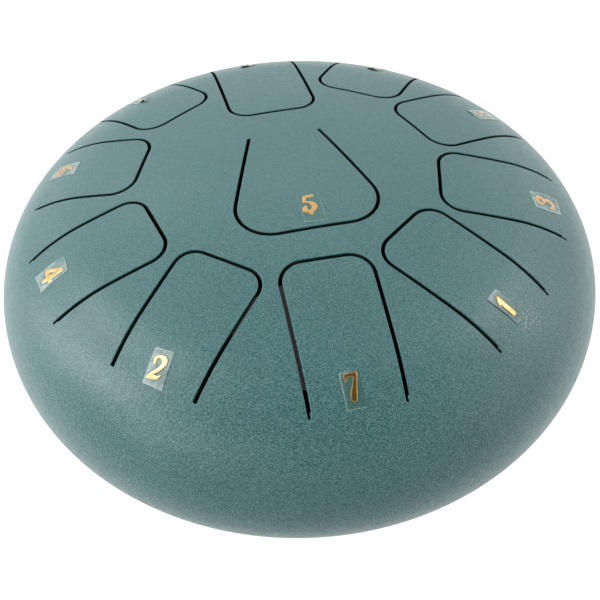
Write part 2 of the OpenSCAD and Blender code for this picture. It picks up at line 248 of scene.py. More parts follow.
class Rim:
    """A cut edge through the sheet. rows[k] is the edge's plan polyline moved by
    s[k] into the metal, hs[i] and he[i] the plan directions into the cut at the
    two ends of piece i of the polyline. The outer corner is rounded by ro and
    the inner one by ri."""

    ANG = (90.0, 66.0, 44.0, 22.0, 0.0)

    def __init__(s, chain, hs, he, ro, ri, closed=False):
        s.ro, s.ri = ro, ri
        s.s = [ro * (1 - sind(a)) for a in s.ANG]
        s.rows = [chain(v) for v in s.s]
        s.hs, s.he, s.closed = hs, he, closed

    def drop(s, v, rho):
        return 0.0 if v >= rho else rho - math.sqrt(max(0.0, rho * rho - (rho - v) ** 2))

    def build(s, b, dish):
        n = len(s.rows[0])
        pieces = range(n if s.closed else n - 1)
        sg = dish.sign

        def outer(row, i, h):
            p = s.rows[row][i % n]
            q, nn = dish.point(p[0], p[1])
            a = s.ANG[row]
            q = (q[0], q[1], q[2] - sg * s.drop(s.s[row], s.ro))
            m = plus(tuple(c * cosd(a) for c in nn), (h[0], h[1], 0.0), sind(a))
            return q, m

        def inner(row, i, h):
            p = s.rows[row][i % n]
            q, nn = dish.point(p[0], p[1], -T)
            v = s.s[row]
            q = (q[0], q[1], q[2] + sg * s.drop(v, s.ri))
            f = max(0.0, min(1.0, 1 - v / s.ri)) if s.ri > 0 else 0.0
            m = plus(tuple(-c * (1 - f) for c in nn), (h[0], h[1], 0.0), f)
            return q, m

        for i in pieces:
            for k in range(len(s.s) - 1):
                for fn, tag in ((outer, 0.0), (inner, 1.0)):
                    c = [fn(k, i, s.hs[i]), fn(k, i + 1, s.he[i]),
                         fn(k + 1, i + 1, s.he[i]), fn(k + 1, i, s.hs[i])]
                    b.face([q for q, m in c], [m for q, m in c], tag)
            c = [outer(0, i, s.hs[i])[0], outer(0, i + 1, s.he[i])[0],
                 inner(0, i + 1, s.he[i])[0], inner(0, i, s.hs[i])[0]]
            h0, h1 = (*s.hs[i], 0.0), (*s.he[i], 0.0)
            b.face(c, [h0, h1, h1, h0], 0.8)

    def flush(s):
        """The polyline where the rounded corner meets the flat of the sheet."""
        return s.rows[-1]


def sheet(b, dish, loops, pitch):
    """Fills the plan loops with the sheet's outer and inner faces."""
    for t in triangles(loops, pitch):
        o = [dish.point(*p) for p in t]
        i = [dish.point(*p, -T) for p in t]
        b.face([q for q, n in o], [n for q, n in o], 0.0)
        b.face([q for q, n in i], [neg(n) for q, n in i], 1.0)


def circle(r, n=SEG, cx=0.0, cy=0.0):
    return [(cx + r * math.cos(2 * math.pi * j / n), cy + r * math.sin(2 * math.pi * j / n))
            for j in range(n)]


def lathe(b, prof, n=SEG):
    """prof is a list of pieces (r0, z0, n0, r1, z1, n1, tag), each n a meridian normal."""
    ang = [(math.cos(2 * math.pi * j / n), math.sin(2 * math.pi * j / n)) for j in range(n)]
    for r0, z0, n0, r1, z1, n1, tag in prof:
        for j in range(n):
            c, s = ang[j]
            c2, s2 = ang[(j + 1) % n]
            b.face(
                [(r0 * c, r0 * s, z0), (r0 * c2, r0 * s2, z0), (r1 * c2, r1 * s2, z1), (r1 * c, r1 * s, z1)],
                [(n0[0] * c, n0[0] * s, n0[1]), (n0[0] * c2, n0[0] * s2, n0[1]),
                 (n1[0] * c2, n1[0] * s2, n1[1]), (n1[0] * c, n1[0] * s, n1[1])],
                tag,
            )


def strip(points, tag):
    """Lathe pieces through (r, z, normal) points."""
    return [(*a, *c, tag) for a, c in zip(points, points[1:])]


# ------------------------------------------------------------------- tongues
# name: bearing, tip, half width at the tip, change of half width per mm,
# corner radius, root, turn of the tongue about its tip and its shift sideways,
# and whether the slot's ends run on as narrower saw cuts
TONGUES = {
    "low_7": (-80.1, 49.8, 16.92, -0.018, 8.6, 104.8, 0.23, -0.05, 1),
    "1": (-41.7, 50.65, 17.2, -0.011, 8.4, 104.6, 0.3, 0.06, 1),
    "3": (-5.4, 56.5, 17.8, -0.0005, 8.6, 106.0, -0.32, 0.24, 1),
    "5": (30.6, 58.5, 18.65, 0.015, 9.2, 105.6, 0.3, 0.04, 1),
    "7": (65.7, 64.05, 19.3, 0.021, 9.8, 105.4, 1.05, -0.22, 1),
    "low_6": (102.6, 40.8, 18.93, 0.0205, 9.3, 105.4, 0.04, -0.17, 1),
    "high_1": (137.8, 67.0, 18.76, 0.0275, 9.6, 106.0, -3.0, 0.9, 1),
    "6": (172.2, 63.55, 18.02, 0.018, 9.0, 106.2, -0.4, -0.03, 1),
    "4": (207.3, 60.0, 17.28, -0.0015, 8.1, 107.0, 0.4, -0.32, 1),
    "2": (242.2, 55.1, 17.04, -0.017, 7.6, 103.9, -0.08, 0.01, 0),
    "low_5": (-80.0, 35.25, 32.17, -0.302, 14.0, -22.3, 1.5, 0.3, 0),
}
EDGE = 0.3
TAIL = 1.8
# where the saw cut ends across the slot, from the slot's middle outwards
MID_UP = 0.15
MID_DN = -0.15


class Tongue:
    def __init__(s, name):
        s.name = name
        s.b, s.tip, s.w, s.tap, s.rad, s.root, s.turn, s.side, s.tails = TONGUES[name]
        s.dir = 1.0 if s.root > s.tip else -1.0
        s.len = abs(s.root - s.tip)
        s.k = math.sqrt(1 + s.tap * s.tap)
        s.cb, s.sb = cosd(s.b), sind(s.b)
        s.ct, s.st = cosd(s.turn), sind(s.turn)
        s.ns = max(8, int(s.len / 2.4))
        s.vc = s.w + s.tap * s.rad - s.rad * s.k
        s.nt = max(3, int(2 * s.vc / 2.4))

    def world(s, p):
        x, y = s.dir * p[0], p[1]
        u, v = s.tip + x * s.ct - y * s.st, s.side + x * s.st + y * s.ct
        return (u * s.cb - v * s.sb, u * s.sb + v * s.cb)

    def way(s, d):
        x, y = s.dir * d[0], d[1]
        u, v = x * s.ct - y * s.st, x * s.st + y * s.ct
        return (u * s.cb - v * s.sb, u * s.sb + v * s.cb)

    def e(s, x, g):
        return s.w + s.tap * x + g * s.k

    def outline(s, g):
        """Points of the outline grown by g, from the root's +v end round the tip
        to its -v end, in the tongue's own plan, and their outward directions."""
        r = s.rad + g
        turn = math.pi / 2 - math.atan(s.tap)
        a0 = math.pi - turn
        xe = s.rad + r * math.cos(a0)
        side = (-s.tap / s.k, 1 / s.k)
        out = []
        for i in range(s.ns):
            x = s.len + (xe - s.len) * i / s.ns
            out.append(((x, s.e(x, g)), side))
        for i in range(15):
            a = a0 + turn * i / 14
            out.append(((s.rad + r * math.cos(a), s.vc + r * math.sin(a)), (math.cos(a), math.sin(a))))
        for i in range(1, s.nt):
            out.append(((-g, s.vc - 2 * s.vc * i / s.nt), (-1.0, 0.0)))
        back = [((x, -y), (nx, -ny)) for (x, y), (nx, ny) in reversed(out[: s.ns + 15])]
        return out + back

    def rim(s):
        """The tongue's own cut edge. On its -v side a lip of the tongue fills
        the slot's inner half over the last TAIL mm."""
        ways = [s.way(n) for p, n in s.outline(0.0)]
        lip, back = s.way((0.0, -1.0)), s.way((-1.0, 0.0))

        def chain(v):
            pts = [p for p, n in s.outline(-SLOT / 2 - v)]
            if s.tails:
                xa = s.len - TAIL + v
                pts = pts[:-1] + [(xa, -s.e(xa, -SLOT / 2 - v)), (xa, -s.e(xa, MID_DN - v)),
                                   (s.len, -s.e(s.len, MID_DN - v))]
            return [s.world(p) for p in pts]

        hs, he = ways[:-1], ways[1:]
        if s.tails:
            hs, he = hs + [back, lip], he + [back, lip]
        return Rim(chain, hs, he, EDGE, 0.15)

    def window(s):
        """The shell's cut edge round the tongue, ends of the slot included."""
        base = s.outline(0.0)

        def chain(v):
            o = [p for p, w in s.outline(SLOT / 2 + v)][1:-1]
            g0, g1, g2 = -SLOT / 2 - v, SLOT / 2 + v, MID_UP + v
            xe, xa = s.len + v, s.len - TAIL + v
            up = [(s.len, s.e(s.len, g0)), (xe, s.e(xe, g0))]
            if s.tails:
                up += [(xe, s.e(xe, g2)), (xa, s.e(xa, g2)), (xa, s.e(xa, g1))]
                g0 = MID_DN - v
            else:
                up += [(xe, s.e(xe, g1))]
            dn = [(xe, -s.e(xe, g1)), (xe, -s.e(xe, g0)), (s.len, -s.e(s.len, g0))]
            return [s.world(p) for p in up + o + dn]

        out, inn, back = s.way((0.0, 1.0)), s.way((0.0, -1.0)), s.way((-1.0, 0.0))
        w_up = [out, back, inn, back] if s.tails else [out, back]
        w_dn = [back, inn]
        body = [s.way((-w[0], -w[1])) for p, w in base]
        return Rim(chain, w_up + body[:-1] + w_dn, w_up + body[1:] + w_dn, EDGE, 0.15)

    def root_line(s):
        """Points of the root line between the rounded corners, -v end first."""
        hi = s.e(s.len, -SLOT / 2 - EDGE)
        lo = -s.e(s.len, (MID_DN if s.tails else -SLOT / 2) - EDGE)
        n = max(4, int((hi - lo) / 2.4))
        return [s.world((s.len, lo + (hi - lo) * i / n)) for i in range(n + 1)]

    def root_face(s, b, rim, sign):
        """The cut across the root, which both solids share. sign is 1 on the
        tongue, where the face looks at the shell."""
        out = s.way((sign, 0.0))
        h = (out[0], out[1], 0.0)
        line = []
        for end, order in ((-1, range(len(rim.s))), (None, ())):
            if end is None:
                break
            for k in order:
                p = rim.rows[k][-1]
                line.append((p, rim.drop(rim.s[k], rim.ro), rim.drop(rim.s[k], rim.ri)))
        line += [(p, 0.0, 0.0) for p in s.root_line()[1:-1]]
        for k in reversed(range(len(rim.s))):
            p = rim.rows[k][0]
            line.append((p, rim.drop(rim.s[k], rim.ro), rim.drop(rim.s[k], rim.ri)))
        cols = []
        for p, do, di in line:
            o = UP.point(*p)[0]
            i = UP.point(*p, -T)[0]
            cols.append(((o[0], o[1], o[2] - do), (i[0], i[1], i[2] + di)))
        for (o0, i0), (o1, i1) in zip(cols, cols[1:]):
            b.face([o0, o1, i1, i0], [h] * 4, 1.0)


TG = {n: Tongue(n) for n in TONGUES}

# ----------------------------------------------------------------- materials


def mat(name):
    m = bpy.data.materials.new(name)
    m.use_nodes = True
    nt = m.node_tree
    nt.nodes.clear()
    return m, nt


def node(nt, kind, **props):
    n = nt.nodes.new(kind)
    for k, v in props.items():
        if k.startswith("_"):
            setattr(n, k[1:], v)
        else:
            n.inputs[k.replace("__", " ")].default_value = v
    return n


def link(nt, a, b):
    nt.links.new(a, b)


def ramp(nt, stops, interpolation="LINEAR"):
    n = nt.nodes.new("ShaderNodeValToRGB")
    n.color_ramp.interpolation = interpolation
    e = n.color_ramp.elements
    while len(e) > 1:
        e.remove(e[-1])
    for i, (p, c) in enumerate(stops):
        x = e[0] if i == 0 else e.new(p)
        x.position = p
        x.color = (*c, 1.0) if len(c) == 3 else c
    return n


def math_node(nt, op, a=None, b=None, clamp=False):
    n = nt.nodes.new("ShaderNodeMath")
    n.operation = op
    n.use_clamp = clamp
    for i, v in enumerate((a, b)):
        if v is None:
            continue
        if isinstance(v, (int, float)):
            n.inputs[i].default_value = v
        else:
            link(nt, v, n.inputs[i])
    return n.outputs[0]


def mix_color(nt, fac, a, b, blend="MIX"):
    n = nt.nodes.new("ShaderNodeMix")
    n.data_type = "RGBA"
    n.blend_type = blend
    for v, key in ((fac, 0), (a, 6), (b, 7)):
        if hasattr(v, "links"):
            link(nt, v, n.inputs[key])
        elif isinstance(v, (int, float)):
            n.inputs[key].default_value = v
        else:
            n.inputs[key].default_value = (*v, 1.0)
    return n.outputs[2]


PAINT = (0.0443, 0.1325, 0.1343)


def paint_material():
    """Satin spray paint with an orange-peel skin."""
    m, nt = mat("teal_paint")
    out = node(nt, "ShaderNodeOutputMaterial")
    p = node(nt, "ShaderNodeBsdfPrincipled")
    link(nt, p.outputs[0], out.inputs[0])
    tc = node(nt, "ShaderNodeTexCoord")
    co = tc.outputs["Object"]
    grain = node(nt, "ShaderNodeTexNoise", Scale=2300.0, Detail=1.0, Roughness=0.5)
    peel = node(nt, "ShaderNodeTexNoise", Scale=400.0, Detail=1.0, Roughness=0.5)
    cloud = node(nt, "ShaderNodeTexNoise", Scale=26.0, Detail=3.0, Roughness=0.6)
    fleck = node(nt, "ShaderNodeTexVoronoi", Scale=210.0)
    for n in (grain, peel, cloud, fleck):
        link(nt, co, n.inputs["Vector"])
    g = ramp(nt, [(0.34, (0.30, 0.65, 0.655)), (0.5, (0.98, 0.98, 0.98)), (0.66, (1.85, 1.40, 1.38))])
    link(nt, grain.outputs["Fac"], g.inputs["Fac"])
    # painted shading of the grain: its colour contrast and its bump grow towards the player's side and fade towards
    # the back, as grazing light brings them out at the front
    sy = node(nt, "ShaderNodeSeparateXYZ")
    link(nt, co, sy.inputs[0])
    yr = node(nt, "ShaderNodeMapRange")
    link(nt, sy.outputs["Y"], yr.inputs["Value"])
    yr.inputs["From Min"].default_value, yr.inputs["From Max"].default_value = -0.127, 0.127
    grain_shade_by_y = ramp(nt, [(y, (v, v, v)) for y, v in (
        (0.0, 0.65), (0.075, 0.73), (0.118, 0.67), (0.165, 0.59), (0.236, 0.51), (0.311, 0.47), (0.406, 0.35),
        (0.54, 0.285), (0.677, 0.21))])
    link(nt, yr.outputs["Result"], grain_shade_by_y.inputs["Fac"])
    grain_shading_amp = math_node(nt, "MULTIPLY", grain_shade_by_y.outputs["Color"], 2.0)
    even = mix_color(nt, grain_shading_amp, (1.0, 1.0, 1.0), g.outputs["Color"])
    even.node.clamp_factor = False
    c = mix_color(nt, 1.0, PAINT, even, "MULTIPLY")
    cl = ramp(nt, [(0.3, (0.96, 0.97, 0.97)), (0.7, (1.04, 1.03, 1.03))])
    link(nt, cloud.outputs["Fac"], cl.inputs["Fac"])
    c = mix_color(nt, 1.0, c, cl.outputs["Color"], "MULTIPLY")
    # a few dark specks of dust under the paint
    f = ramp(nt, [(0.035, (1, 1, 1)), (0.06, (0, 0, 0))])
    link(nt, fleck.outputs["Distance"], f.inputs["Fac"])
    seldom = node(nt, "ShaderNodeTexWhiteNoise")
    link(nt, fleck.outputs["Position"], seldom.inputs["Vector"])
    pick = math_node(nt, "GREATER_THAN", seldom.outputs["Value"], 0.93)
    c = mix_color(nt, math_node(nt, "MULTIPLY", f.outputs["Color"], math_node(nt, "MULTIPLY", pick, 0.35)),
                  c, (0.015, 0.04, 0.04))
    # painted glints: pale flecks beside the sticker of the 1, a painted highlight where the light breaks up on the
    # orange peel
    at = node(nt, "ShaderNodeVectorMath", _operation="DISTANCE")
    link(nt, co, at.inputs[0])
    at.inputs[1].default_value = [v * MM for v in UP.point(78.6, -68.4)[0]]
    near = node(nt, "ShaderNodeMapRange", _interpolation_type="SMOOTHSTEP")
    link(nt, at.outputs["Value"], near.inputs["Value"])
    for k, v in (("From Min", 0.001), ("From Max", 0.0085), ("To Min", 1.0), ("To Max", 0.0)):
        near.inputs[k].default_value = v
    glint_noise = node(nt, "ShaderNodeTexNoise", Scale=1000.0, Detail=2.0, Roughness=0.7)
    link(nt, co, glint_noise.inputs["Vector"])
    glint_mask = ramp(nt, [(0.54, (0.0, 0.0, 0.0)), (0.66, (1.0, 1.0, 1.0))])
    link(nt, glint_noise.outputs["Fac"], glint_mask.inputs["Fac"])
    c = mix_color(nt, math_node(nt, "MULTIPLY", near.outputs["Result"], math_node(nt, "MULTIPLY", glint_mask.outputs["Color"], 0.8)),
                  c, (0.30, 0.40, 0.40))
    link(nt, c, p.inputs["Base Color"])
    rr = ramp(nt, [(0.3, (0.40, 0.40, 0.40)), (0.7, (0.50, 0.50, 0.50))])
    link(nt, peel.outputs["Fac"], rr.inputs["Fac"])
    link(nt, rr.outputs["Color"], p.inputs["Roughness"])
    p.inputs["Coat Weight"].default_value = 0.22
    p.inputs["Coat Roughness"].default_value = 0.16
    hgt = math_node(nt, "ADD", grain.outputs["Fac"], math_node(nt, "MULTIPLY", peel.outputs["Fac"], 0.9))
    bump = node(nt, "ShaderNodeBump", Strength=1.0, Distance=0.00007)
    link(nt, math_node(nt, "MULTIPLY", hgt, grain_shading_amp), bump.inputs["Height"])
    link(nt, bump.outputs["Normal"], p.inputs["Normal"])
    link(nt, bump.outputs["Normal"], p.inputs["Coat Normal"])
    return m


def inside_material():
    """The cut edges and the inside: thin dark overspray on scorched steel, darkened to near black as painted shade
    for the slots' walls and the inside.
    """
    m, nt = mat("teal_paint_inside")
    out = node(nt, "ShaderNodeOutputMaterial")
    p = node(nt, "ShaderNodeBsdfPrincipled", Roughness=0.7)
    link(nt, p.outputs[0], out.inputs[0])
    tc = node(nt, "ShaderNodeTexCoord")
    fine = node(nt, "ShaderNodeTexNoise", Scale=900.0, Detail=3.0, Roughness=0.6)
    cloud = node(nt, "ShaderNodeTexNoise", Scale=70.0, Detail=4.0, Roughness=0.6)
    for n in (fine, cloud):
        link(nt, tc.outputs["Object"], n.inputs["Vector"])
    c = ramp(nt, [(0.3, (0.004, 0.010, 0.010)), (0.5, (0.008, 0.020, 0.020)), (0.75, (0.014, 0.030, 0.029))])
    link(nt, cloud.outputs["Fac"], c.inputs["Fac"])
    g = ramp(nt, [(0.35, (0.7, 0.7, 0.7)), (0.65, (1.3, 1.3, 1.3))])
    link(nt, fine.outputs["Fac"], g.inputs["Fac"])
    link(nt, mix_color(nt, 1.0, c.outputs["Color"], g.outputs["Color"], "MULTIPLY"), p.inputs["Base Color"])
    p.inputs["Specular IOR Level"].default_value = 0.12
    r = ramp(nt, [(0.3, (0.62, 0.62, 0.62)), (0.7, (0.8, 0.8, 0.8))])
    link(nt, fine.outputs["Fac"], r.inputs["Fac"])
    link(nt, r.outputs["Color"], p.inputs["Roughness"])
    bump = node(nt, "ShaderNodeBump", Strength=0.7, Distance=0.0001)
    link(nt, fine.outputs["Fac"], bump.inputs["Height"])
    link(nt, bump.outputs["Normal"], p.inputs["Normal"])
    return m


def foil_edge_material():
    """The sides of the stamped numerals, in the shade of their raised edge."""
    m, nt = mat("gold_foil_edge")
    out = node(nt, "ShaderNodeOutputMaterial")
    p = node(nt, "ShaderNodeBsdfPrincipled", Roughness=0.55)
    link(nt, p.outputs[0], out.inputs[0])
    tc = node(nt, "ShaderNodeTexCoord")
    fine = node(nt, "ShaderNodeTexNoise", Scale=1500.0, Detail=2.0, Roughness=0.5)
    link(nt, tc.outputs["Object"], fine.inputs["Vector"])
    c = ramp(nt, [(0.3, (0.05, 0.030, 0.008)), (0.7, (0.13, 0.080, 0.022))])
    link(nt, fine.outputs["Fac"], c.inputs["Fac"])
    link(nt, c.outputs["Color"], p.inputs["Base Color"])
    p.inputs["Specular IOR Level"].default_value = 0.3
    return m


def gold_material():
    """Hot-stamped gold foil: bright, slightly crinkled, with worn specks."""
    m, nt = mat("gold_foil")
    out = node(nt, "ShaderNodeOutputMaterial")
    p = node(nt, "ShaderNodeBsdfPrincipled", Metallic=1.0)
    link(nt, p.outputs[0], out.inputs[0])
    tc = node(nt, "ShaderNodeTexCoord")
    fine = node(nt, "ShaderNodeTexNoise", Scale=1800.0, Detail=3.0, Roughness=0.6)
    wave = node(nt, "ShaderNodeTexNoise", Scale=420.0, Detail=2.0, Roughness=0.5)
    for n in (fine, wave):
        link(nt, tc.outputs["Object"], n.inputs["Vector"])
    c = ramp(nt, [(0.3, (0.90, 0.88, 0.84)), (0.5, (1.0, 1.0, 1.0)), (0.72, (1.08, 1.10, 1.14))])
    link(nt, fine.outputs["Fac"], c.inputs["Fac"])
    # the foil attribute carries each numeral's gold with light and shade painted in
    foil = node(nt, "ShaderNodeAttribute", _attribute_name="foil")
    link(nt, mix_color(nt, 1.0, foil.outputs["Color"], c.outputs["Color"], "MULTIPLY"), p.inputs["Base Color"])
    # the clear film over the foil
    p.inputs["Coat Weight"].default_value = 0.7
    p.inputs["Coat Roughness"].default_value = 0.12
    r = ramp(nt, [(0.3, (0.26, 0.26, 0.26)), (0.7, (0.40, 0.40, 0.40))])
    link(nt, wave.outputs["Fac"], r.inputs["Fac"])
    link(nt, r.outputs["Color"], p.inputs["Roughness"])
    bump = node(nt, "ShaderNodeBump", Strength=0.6, Distance=0.00002)
    link(nt, wave.outputs["Fac"], bump.inputs["Height"])
    link(nt, bump.outputs["Normal"], p.inputs["Normal"])
    return m


def film_material():
    """Clear glossy film over the paint: it wets the grain, is milky where it
    has come loose, and its cut edges catch the light or lie in shade."""
    m, nt = mat("clear_film")
    out = node(nt, "ShaderNodeOutputMaterial")
    tr = node(nt, "ShaderNodeBsdfTransparent", Color=(0.95, 0.98, 0.96, 1.0))
    p = node(nt, "ShaderNodeBsdfPrincipled")
    mx = node(nt, "ShaderNodeMixShader")
    link(nt, tr.outputs[0], mx.inputs[1])
    link(nt, p.outputs[0], mx.inputs[2])
    link(nt, mx.outputs[0], out.inputs[0])
    tc = node(nt, "ShaderNodeTexCoord")
    haze = node(nt, "ShaderNodeTexNoise", Scale=300.0, Detail=3.0, Roughness=0.6)
    slow = node(nt, "ShaderNodeTexNoise", Scale=90.0, Detail=1.0, Roughness=0.5)
    for n in (haze, slow):
        link(nt, tc.outputs["Object"], n.inputs["Vector"])
    hz = ramp(nt, [(0.32, (0.55, 0.55, 0.55)), (0.5, (1.0, 1.0, 1.0)), (0.7, (1.5, 1.5, 1.5))])
    link(nt, haze.outputs["Fac"], hz.inputs["Fac"])
    milk = node(nt, "ShaderNodeAttribute", _attribute_name="milk")
    line = node(nt, "ShaderNodeAttribute", _attribute_name="line")
    body = node(nt, "ShaderNodeAttribute", _attribute_name="body")
    white = math_node(nt, "MULTIPLY", milk.outputs["Fac"], hz.outputs["Color"], True)
    c = mix_color(nt, white, (0.072, 0.193, 0.175), (0.435, 0.475, 0.485))
    # painted highlight and painted shadow along the film's cut sides
    edge_highlight = math_node(nt, "MAXIMUM", line.outputs["Fac"], 0.0)
    edge_shadow = math_node(nt, "MAXIMUM", math_node(nt, "MULTIPLY", line.outputs["Fac"], -1.0), 0.0)
    c = mix_color(nt, edge_highlight, c, (0.76, 0.90, 0.88))
    c = mix_color(nt, edge_shadow, c, (0.006, 0.018, 0.018))
    link(nt, c, p.inputs["Base Color"])
    a = math_node(nt, "ADD", body.outputs["Fac"], math_node(nt, "MULTIPLY", white, 0.8))
    a = math_node(nt, "ADD", a, math_node(nt, "MULTIPLY", math_node(nt, "ADD", edge_highlight, edge_shadow), 0.8), True)
    link(nt, a, mx.inputs[0])
    r = ramp(nt, [(0.3, (0.24, 0.24, 0.24)), (0.7, (0.34, 0.34, 0.34))])
    link(nt, haze.outputs["Fac"], r.inputs["Fac"])
    link(nt, r.outputs["Color"], p.inputs["Roughness"])
    bump = node(nt, "ShaderNodeBump", Strength=0.25, Distance=0.0001)
    link(nt, slow.outputs["Fac"], bump.inputs["Height"])
    link(nt, bump.outputs["Normal"], p.inputs["Normal"])
    return m


def film_back_material():
    """The film's adhesive side, seen where it stands off the paint: an opaque sheet that stands for the shade in the
    gap beneath (painted shade).
    """
    m, nt = mat("clear_film_back")
    out = node(nt, "ShaderNodeOutputMaterial")
    p = node(nt, "ShaderNodeBsdfPrincipled", Roughness=0.5)
    link(nt, p.outputs[0], out.inputs[0])
    tc = node(nt, "ShaderNodeTexCoord")
    haze = node(nt, "ShaderNodeTexNoise", Scale=500.0, Detail=3.0, Roughness=0.6)
    link(nt, tc.outputs["Object"], haze.inputs["Vector"])
    c = ramp(nt, [(0.3, (0.26, 0.30, 0.28)), (0.7, (0.38, 0.42, 0.40))])
    link(nt, haze.outputs["Fac"], c.inputs["Fac"])
    link(nt, c.outputs["Color"], p.inputs["Base Color"])
    r = ramp(nt, [(0.3, (0.42, 0.42, 0.42)), (0.7, (0.58, 0.58, 0.58))])
    link(nt, haze.outputs["Fac"], r.inputs["Fac"])
    link(nt, r.outputs["Color"], p.inputs["Roughness"])
    return m


def rubber_material():
    m, nt = mat("black_rubber")
    out = node(nt, "ShaderNodeOutputMaterial")
    p = node(nt, "ShaderNodeBsdfPrincipled")
    link(nt, p.outputs[0], out.inputs[0])
    tc = node(nt, "ShaderNodeTexCoord")
    fine = node(nt, "ShaderNodeTexNoise", Scale=2400.0, Detail=3.0, Roughness=0.6)
    dust = node(nt, "ShaderNodeTexNoise", Scale=160.0, Detail=5.0, Roughness=0.7)
    for n in (fine, dust):
        link(nt, tc.outputs["Object"], n.inputs["Vector"])
    c = ramp(nt, [(0.4, (0.013, 0.013, 0.014)), (0.62, (0.024, 0.024, 0.025)), (0.8, (0.07, 0.068, 0.065))])
    link(nt, dust.outputs["Fac"], c.inputs["Fac"])
    link(nt, c.outputs["Color"], p.inputs["Base Color"])
    r = ramp(nt, [(0.3, (0.55, 0.55, 0.55)), (0.7, (0.72, 0.72, 0.72))])
    link(nt, dust.outputs["Fac"], r.inputs["Fac"])
    link(nt, r.outputs["Color"], p.inputs["Roughness"])
    bump = node(nt, "ShaderNodeBump", Strength=0.7, Distance=0.00004)
    link(nt, fine.outputs["Fac"], bump.inputs["Height"])
    link(nt, bump.outputs["Normal"], p.inputs["Normal"])
    return m


def zinc_material():
    m, nt = mat("zinc_steel")
    out = node(nt, "ShaderNodeOutputMaterial")
    p = node(nt, "ShaderNodeBsdfPrincipled", Metallic=1.0)
    link(nt, p.outputs[0], out.inputs[0])
    tc = node(nt, "ShaderNodeTexCoord")
    cell = node(nt, "ShaderNodeTexVoronoi", Scale=700.0)
    fine = node(nt, "ShaderNodeTexNoise", Scale=900.0, Detail=4.0, Roughness=0.65)
    for n in (cell, fine):
        link(nt, tc.outputs["Object"], n.inputs["Vector"])
    c = ramp(nt, [(0.2, (0.50, 0.50, 0.47)), (0.5, (0.62, 0.62, 0.60)), (0.85, (0.74, 0.73, 0.69))])
    link(nt, cell.outputs["Color"], c.inputs["Fac"])
    link(nt, c.outputs["Color"], p.inputs["Base Color"])
    r = ramp(nt, [(0.3, (0.26, 0.26, 0.26)), (0.7, (0.44, 0.44, 0.44))])
    link(nt, fine.outputs["Fac"], r.inputs["Fac"])
    link(nt, r.outputs["Color"], p.inputs["Roughness"])
    bump = node(nt, "ShaderNodeBump", Strength=0.4, Distance=0.00002)
    link(nt, fine.outputs["Fac"], bump.inputs["Height"])
    link(nt, bump.outputs["Normal"], p.inputs["Normal"])
    return m


PAINT_M = paint_material()
INSIDE_M = inside_material()
EDGE_M = foil_edge_material()
GOLD_M = gold_material()
FILM_M = film_material()
FILM_BACK_M = film_back_material()
RUBBER_M = rubber_material()
ZINC_M = zinc_material()

# --------------------------------------------------------- shells, weld, tongues
R_UP = 113.0
R_LO = 80.0
GROOVE = (1.7 - 0.35) / 3.2
BEAD = (R - T - 0.1, 0.9)


def groove_y(r):
    return 0.35 + GROOVE * (r - (R - T - 0.2))


def edge_r(dish, y, d=0.0):
    """Radius of a shell's layer d at the height y near the weld line."""
    return R - dish.re + math.sqrt((dish.re + d) ** 2 - y * y)


def weld_points(dish):
    """Where the groove meets the outer face (A), the bead (B), and where the
    bead meets the inner face (C), as (r, height from the weld line)."""
    y = 1.27
    for _ in range(8):
        y = groove_y(edge_r(dish, y))
    a = (edge_r(dish, y), y)
    cx, rr = BEAD
    q = 1 + GROOVE * GROOVE
    y0 = groove_y(cx)
    x = (-y0 * GROOVE + math.sqrt((y0 * GROOVE) ** 2 - q * (y0 * y0 - rr * rr))) / q
    bpt = (cx + x, y0 + GROOVE * x)
    y = 0.89
    for _ in range(8):
        y = math.sqrt(rr * rr - (edge_r(dish, y, -T) - cx) ** 2)
    return a, bpt, (edge_r(dish, y, -T), y)


def near_weld(dish, back):
    """Lathe points of the weld's side of a shell from A over B to C. back is 1
    for the weld's own faces and -1 for the shell's."""
    a, bpt, c = weld_points(dish)
    sg, cx = dish.sign, BEAD[0]
    g = (-GROOVE / math.hypot(1, GROOVE) * back, 1 / math.hypot(1, GROOVE) * back)
    z = lambda y: Z_EQ + sg * y
    n = lambda v: (v[0], sg * v[1])
    p1 = [(a[0], z(a[1]), n(g)), (bpt[0], z(bpt[1]), n(g))]
    t0 = math.atan2(bpt[1], bpt[0] - cx)
    t1 = math.atan2(c[1], c[0] - cx)
    p2 = []
    for i in range(7):
        t = t0 + (t1 - t0) * i / 6
        v = (math.cos(t) * back, math.sin(t) * back)
        p2.append((cx + BEAD[1] * math.cos(t), z(BEAD[1] * math.sin(t)), n(v)))
    p2[0] = (bpt[0], z(bpt[1]), p2[0][2])
    p2[-1] = (c[0], z(c[1]), p2[-1][2])
    return p1, p2


def dish_lathe(b, dish, r0, steps=30):
    """The shell from the plan radius r0 to the weld."""
    a, bpt, c = weld_points(dish)
    th0, th1 = dish.slope(r0), math.pi / 2 - math.asin(a[1] / dish.re)
    out = []
    for i in range(steps + 1):
        th = th0 + (th1 - th0) * i / steps
        r, h = dish.at(th)
        if i == 0:
            r = r0
        if i == steps:
            r, h = a
        out.append((r, Z_EQ + dish.sign * h, (math.sin(th), dish.sign * math.cos(th))))
    p1, p2 = near_weld(dish, -1)
    th0, th1 = dish.slope(r0, -T), math.pi / 2 - math.asin(c[1] / (dish.re - T))
    inn = []
    for i in range(steps, -1, -1):
        th = th0 + (th1 - th0) * i / steps
        r, h = dish.at(th, -T)
        if i == 0:
            r = r0
        if i == steps:
            r, h = c
        inn.append((r, Z_EQ + dish.sign * h, (-math.sin(th), -dish.sign * math.cos(th))))
    lathe(b, strip(out, 0.0) + strip(p1, 1.0) + strip(p2, 1.0) + strip(inn, 1.0))


